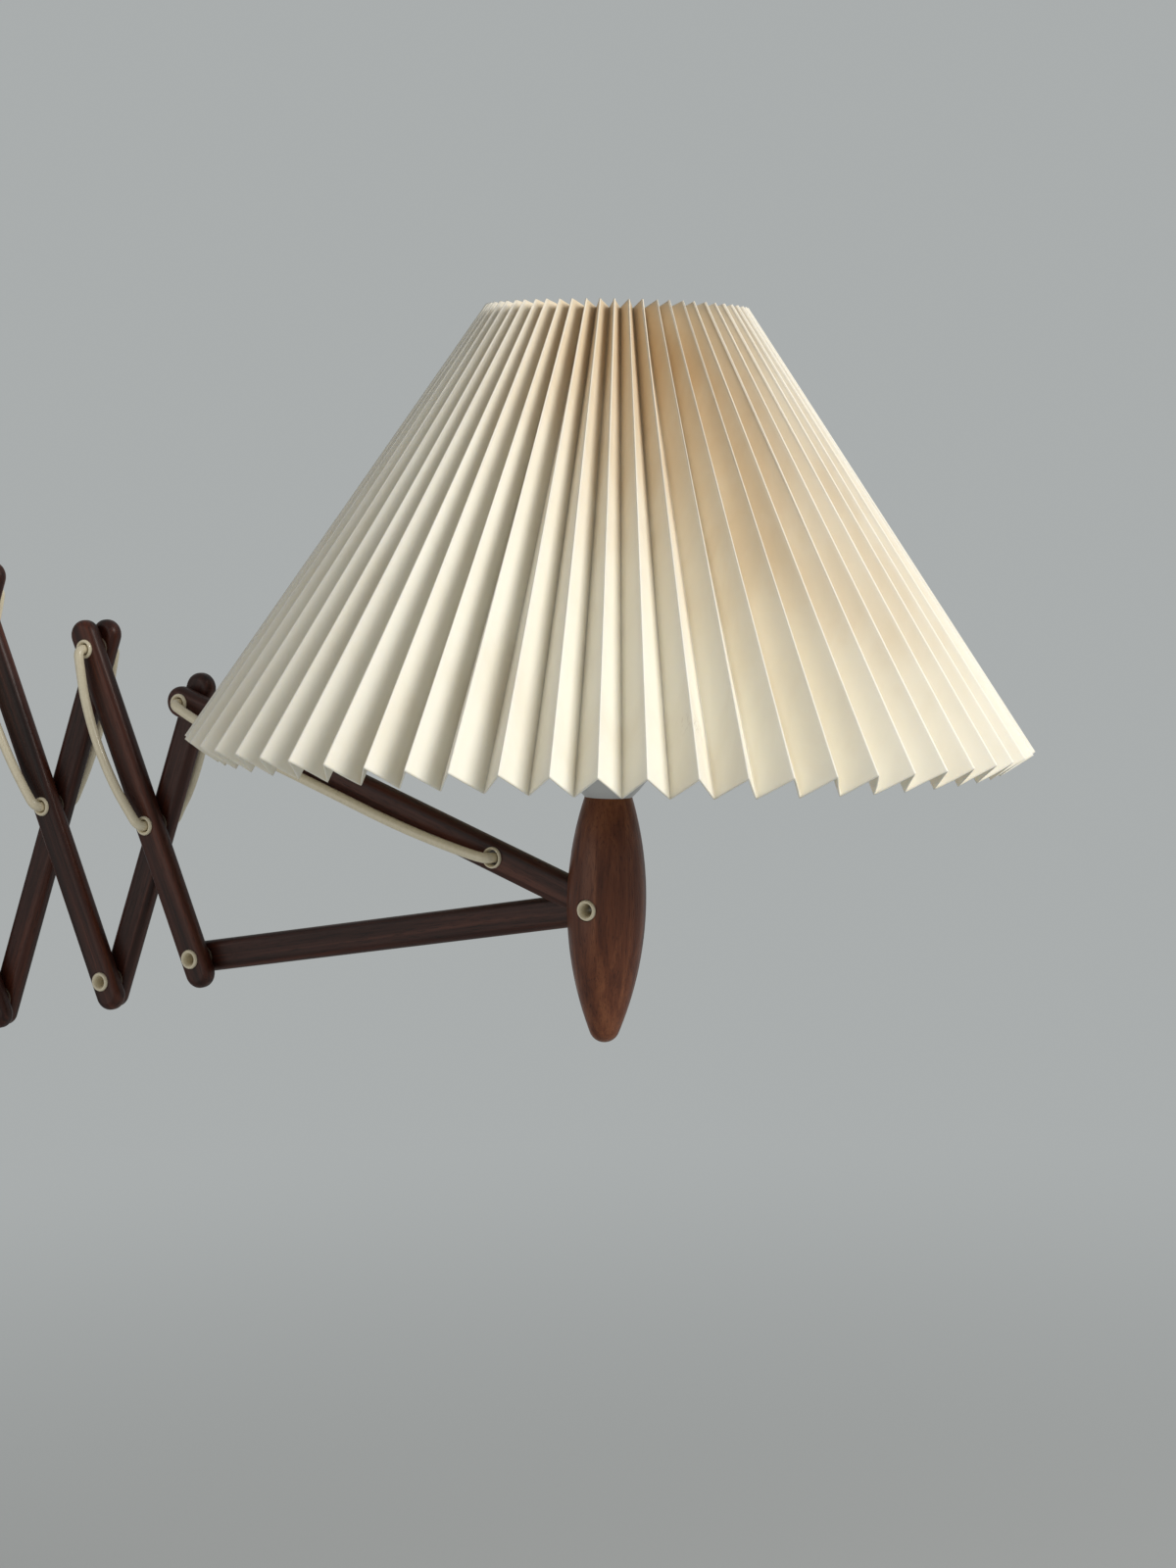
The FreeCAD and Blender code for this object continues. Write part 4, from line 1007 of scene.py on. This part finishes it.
    def build(self) -> None:
        """Make and dress the shade."""
        finish = PleatFinish(
            "pleated_sheet", sheet=(0.86, 0.825, 0.72), ridge_highlight=(0.92, 0.89, 0.8),
            soil_and_crease_shade=(0.62, 0.53, 0.38), stain_and_shade_colour=(0.6, 0.41, 0.2),
            # the first three patches are heat-stained places in the upper part; the last is painted
            # shade that browns the lower right half
            stain_and_shade_patches=(self.patch(-46, 0.86, 100 * MM, 0.5), self.patch(-28, 0.6, 120 * MM, 0.34),
                    self.patch(-58, 1.0, 75 * MM, 0.36), self.patch(0, 0.35, 120 * MM, 0.2)),
            marks=(self.patch(-47, 0.1, 8 * MM), self.patch(-16, 0.08, 8 * MM)))
        place_piece(self.build_mesh(), "shade", finish.build())


# ---------------------------------------------------------------- wall side
@dataclass
class WallSide:
    """The rod, brackets, collars and terminal at the wall."""

    brass: tuple[str, ...] = ("rod", "upper_bracket", "lower_bracket", "upper_collar", "lower_collar",
                              "stop_ring")

    def build(self) -> None:
        """Dress each part."""
        for node in self.brass:
            dress(node, finish_of(Finish.BRASS))
        dress("bracket_screws", finish_of(Finish.STEEL))
        dress("terminal_block", finish_of(Finish.PORCELAIN))


# ---------------------------------------------------------------- studio
@dataclass(frozen=True)
class SoftLight:
    """A square soft light, placed in metres from the point that it faces; its power is in watts."""

    name: str
    left: float
    near: float
    height: float
    size: float
    power: float
    colour: Colour

    def build(self, aim: Vector, ahead: Vector) -> None:
        """Make the light.

        Args:
            aim: The point that it faces.
            ahead: The level direction that the camera looks along.
        """
        right = Vector((ahead.y, -ahead.x, 0.0))
        data = bpy.data.lights.new(self.name, "AREA")
        data.size = self.size
        data.energy = self.power
        data.color = self.colour
        light = bpy.data.objects.new(self.name, data)
        light.location = aim - right * self.left - ahead * self.near + Vector((0.0, 0.0, self.height))
        light.rotation_euler = (aim - light.location).to_track_quat("-Z", "Y").to_euler()
        bpy.context.scene.collection.objects.link(light)


@dataclass
class Studio:
    """The camera, its angles in degrees, with the soft lights, the surround and the pale floor."""

    yaw: float = 31.82
    pitch: float = 3.94
    roll: float = -1.23
    camera_place: Place = (1.1507, -1.0946, 0.1026)
    film_height: float = 24.0
    lens: float = 47.44
    near_clip: float = 0.01
    aim_rise: float = 0.12
    lights: tuple[SoftLight, ...] = (
        SoftLight("window", left=-1.25, near=1.1, height=0.9, size=0.9, power=34.0,
                  colour=(1.0, 0.975, 0.93)),
        SoftLight("room", left=1.4, near=0.9, height=0.1, size=1.4, power=4.0,
                  colour=(1.0, 0.96, 0.9)))
    backdrop: Colour = (0.40, 0.42, 0.42)
    fill_colour: Colour = (0.97, 0.97, 0.95)
    fill_strength: float = 0.26
    floor_colour: Colour = (0.58, 0.6, 0.6)
    floor_height: float = -0.62
    floor_reach: float = 40.0
    floor_middle: float = 0.4
    floor_fade: float = 2.6

    def forward(self) -> Vector:
        """The level direction that the camera looks along."""
        return Vector((-math.sin(math.radians(self.yaw)), math.cos(math.radians(self.yaw)), 0.0))

    def camera(self) -> None:
        """Make the camera at the photograph's viewing angle."""
        up, level = Vector((0.0, 0.0, 1.0)), self.forward()
        side = Vector((level.y, -level.x, 0.0))
        pitch, roll = math.radians(self.pitch), math.radians(self.roll)
        ahead = level * math.cos(pitch) - up * math.sin(pitch)
        above = level * math.sin(pitch) + up * math.cos(pitch)
        right = side * math.cos(roll) + above * math.sin(roll)
        top = above * math.cos(roll) - side * math.sin(roll)
        data = bpy.data.cameras.new("camera")
        data.sensor_fit = "VERTICAL"
        data.sensor_height = self.film_height
        data.lens = self.lens
        data.clip_start = self.near_clip
        camera = bpy.data.objects.new("camera", data)
        turn = Matrix((right, top, -ahead)).transposed().to_4x4()
        camera.matrix_world = Matrix.Translation(Vector(self.camera_place)) @ turn
        bpy.context.scene.collection.objects.link(camera)
        bpy.context.scene.camera = camera

    def world(self) -> None:
        """A pale surround for what the camera and gloss see, and a dimmer one that lights the lamp."""
        world = bpy.data.worlds.new("surround")
        world.use_nodes = True
        tree = world.node_tree
        tree.nodes.clear()
        seen, fill = tree.nodes.new("ShaderNodeBackground"), tree.nodes.new("ShaderNodeBackground")
        seen.inputs["Color"].default_value = (*self.backdrop, 1.0)
        fill.inputs["Color"].default_value = (*self.fill_colour, 1.0)
        fill.inputs["Strength"].default_value = self.fill_strength
        path = tree.nodes.new("ShaderNodeLightPath")
        total = path.outputs["Is Camera Ray"]
        for ray in ("Is Glossy Ray", "Is Transmission Ray"):
            node = tree.nodes.new("ShaderNodeMath")
            node.operation = "MAXIMUM"
            tree.links.new(total, node.inputs[0])
            tree.links.new(path.outputs[ray], node.inputs[1])
            total = node.outputs[0]
        mix = tree.nodes.new("ShaderNodeMixShader")
        for source, socket in zip((total, fill.outputs[0], seen.outputs[0]), mix.inputs):
            tree.links.new(source, socket)
        output = tree.nodes.new("ShaderNodeOutputWorld")
        tree.links.new(mix.outputs[0], output.inputs["Surface"])
        bpy.context.scene.world = world

    def floor(self) -> None:
        """A pale floor that keeps the lamp's shadow and fades into the surround further off."""
        corners = [Vector((x * self.floor_reach, y * self.floor_reach, self.floor_height))
                   for x, y in ((-1, -1), (1, -1), (1, 1), (-1, 1))]
        piece = new_mesh("floor", corners, [(0, 1, 2, 3)])
        graph = Graph("floor_paint")
        graph.fix(Base_Color=(*self.floor_colour, 1.0), Roughness=0.9)
        glow = graph.add("ShaderNodeEmission", {"Color": (*self.backdrop, 1.0)})
        centre = Vector((self.floor_middle, 0.0, self.floor_height))
        far = graph.maths("SUBTRACT", 1.0, graph.spot(centre, self.floor_fade))
        mix = graph.add("ShaderNodeMixShader", {0: far, 1: graph.surface.outputs[0],
                                                2: glow.outputs[0]})
        graph.tree.links.new(mix.outputs[0], graph.output.inputs["Surface"])
        piece.data.materials.append(graph.material)

    def build(self) -> None:
        """Set up the view, the light and the floor."""
        self.camera()
        aim = middle("arm_bush") + Vector((0.0, 0.0, self.aim_rise))
        for light in self.lights:
            light.build(aim, self.forward())
        self.world()
        self.floor()
        bpy.context.scene.view_settings.view_transform = "Standard"


def main() -> None:
    """Build the lamp's looks in order."""
    logging.basicConfig(level=logging.INFO, format="%(name)s: %(message)s")
    Studio().build()
    for assembly in (Flex(), Rivets(), Scissors(), Spindle(), Holder(), Shade(), WallSide()):
        assembly.build()


if __name__ == "__main__":
    main()
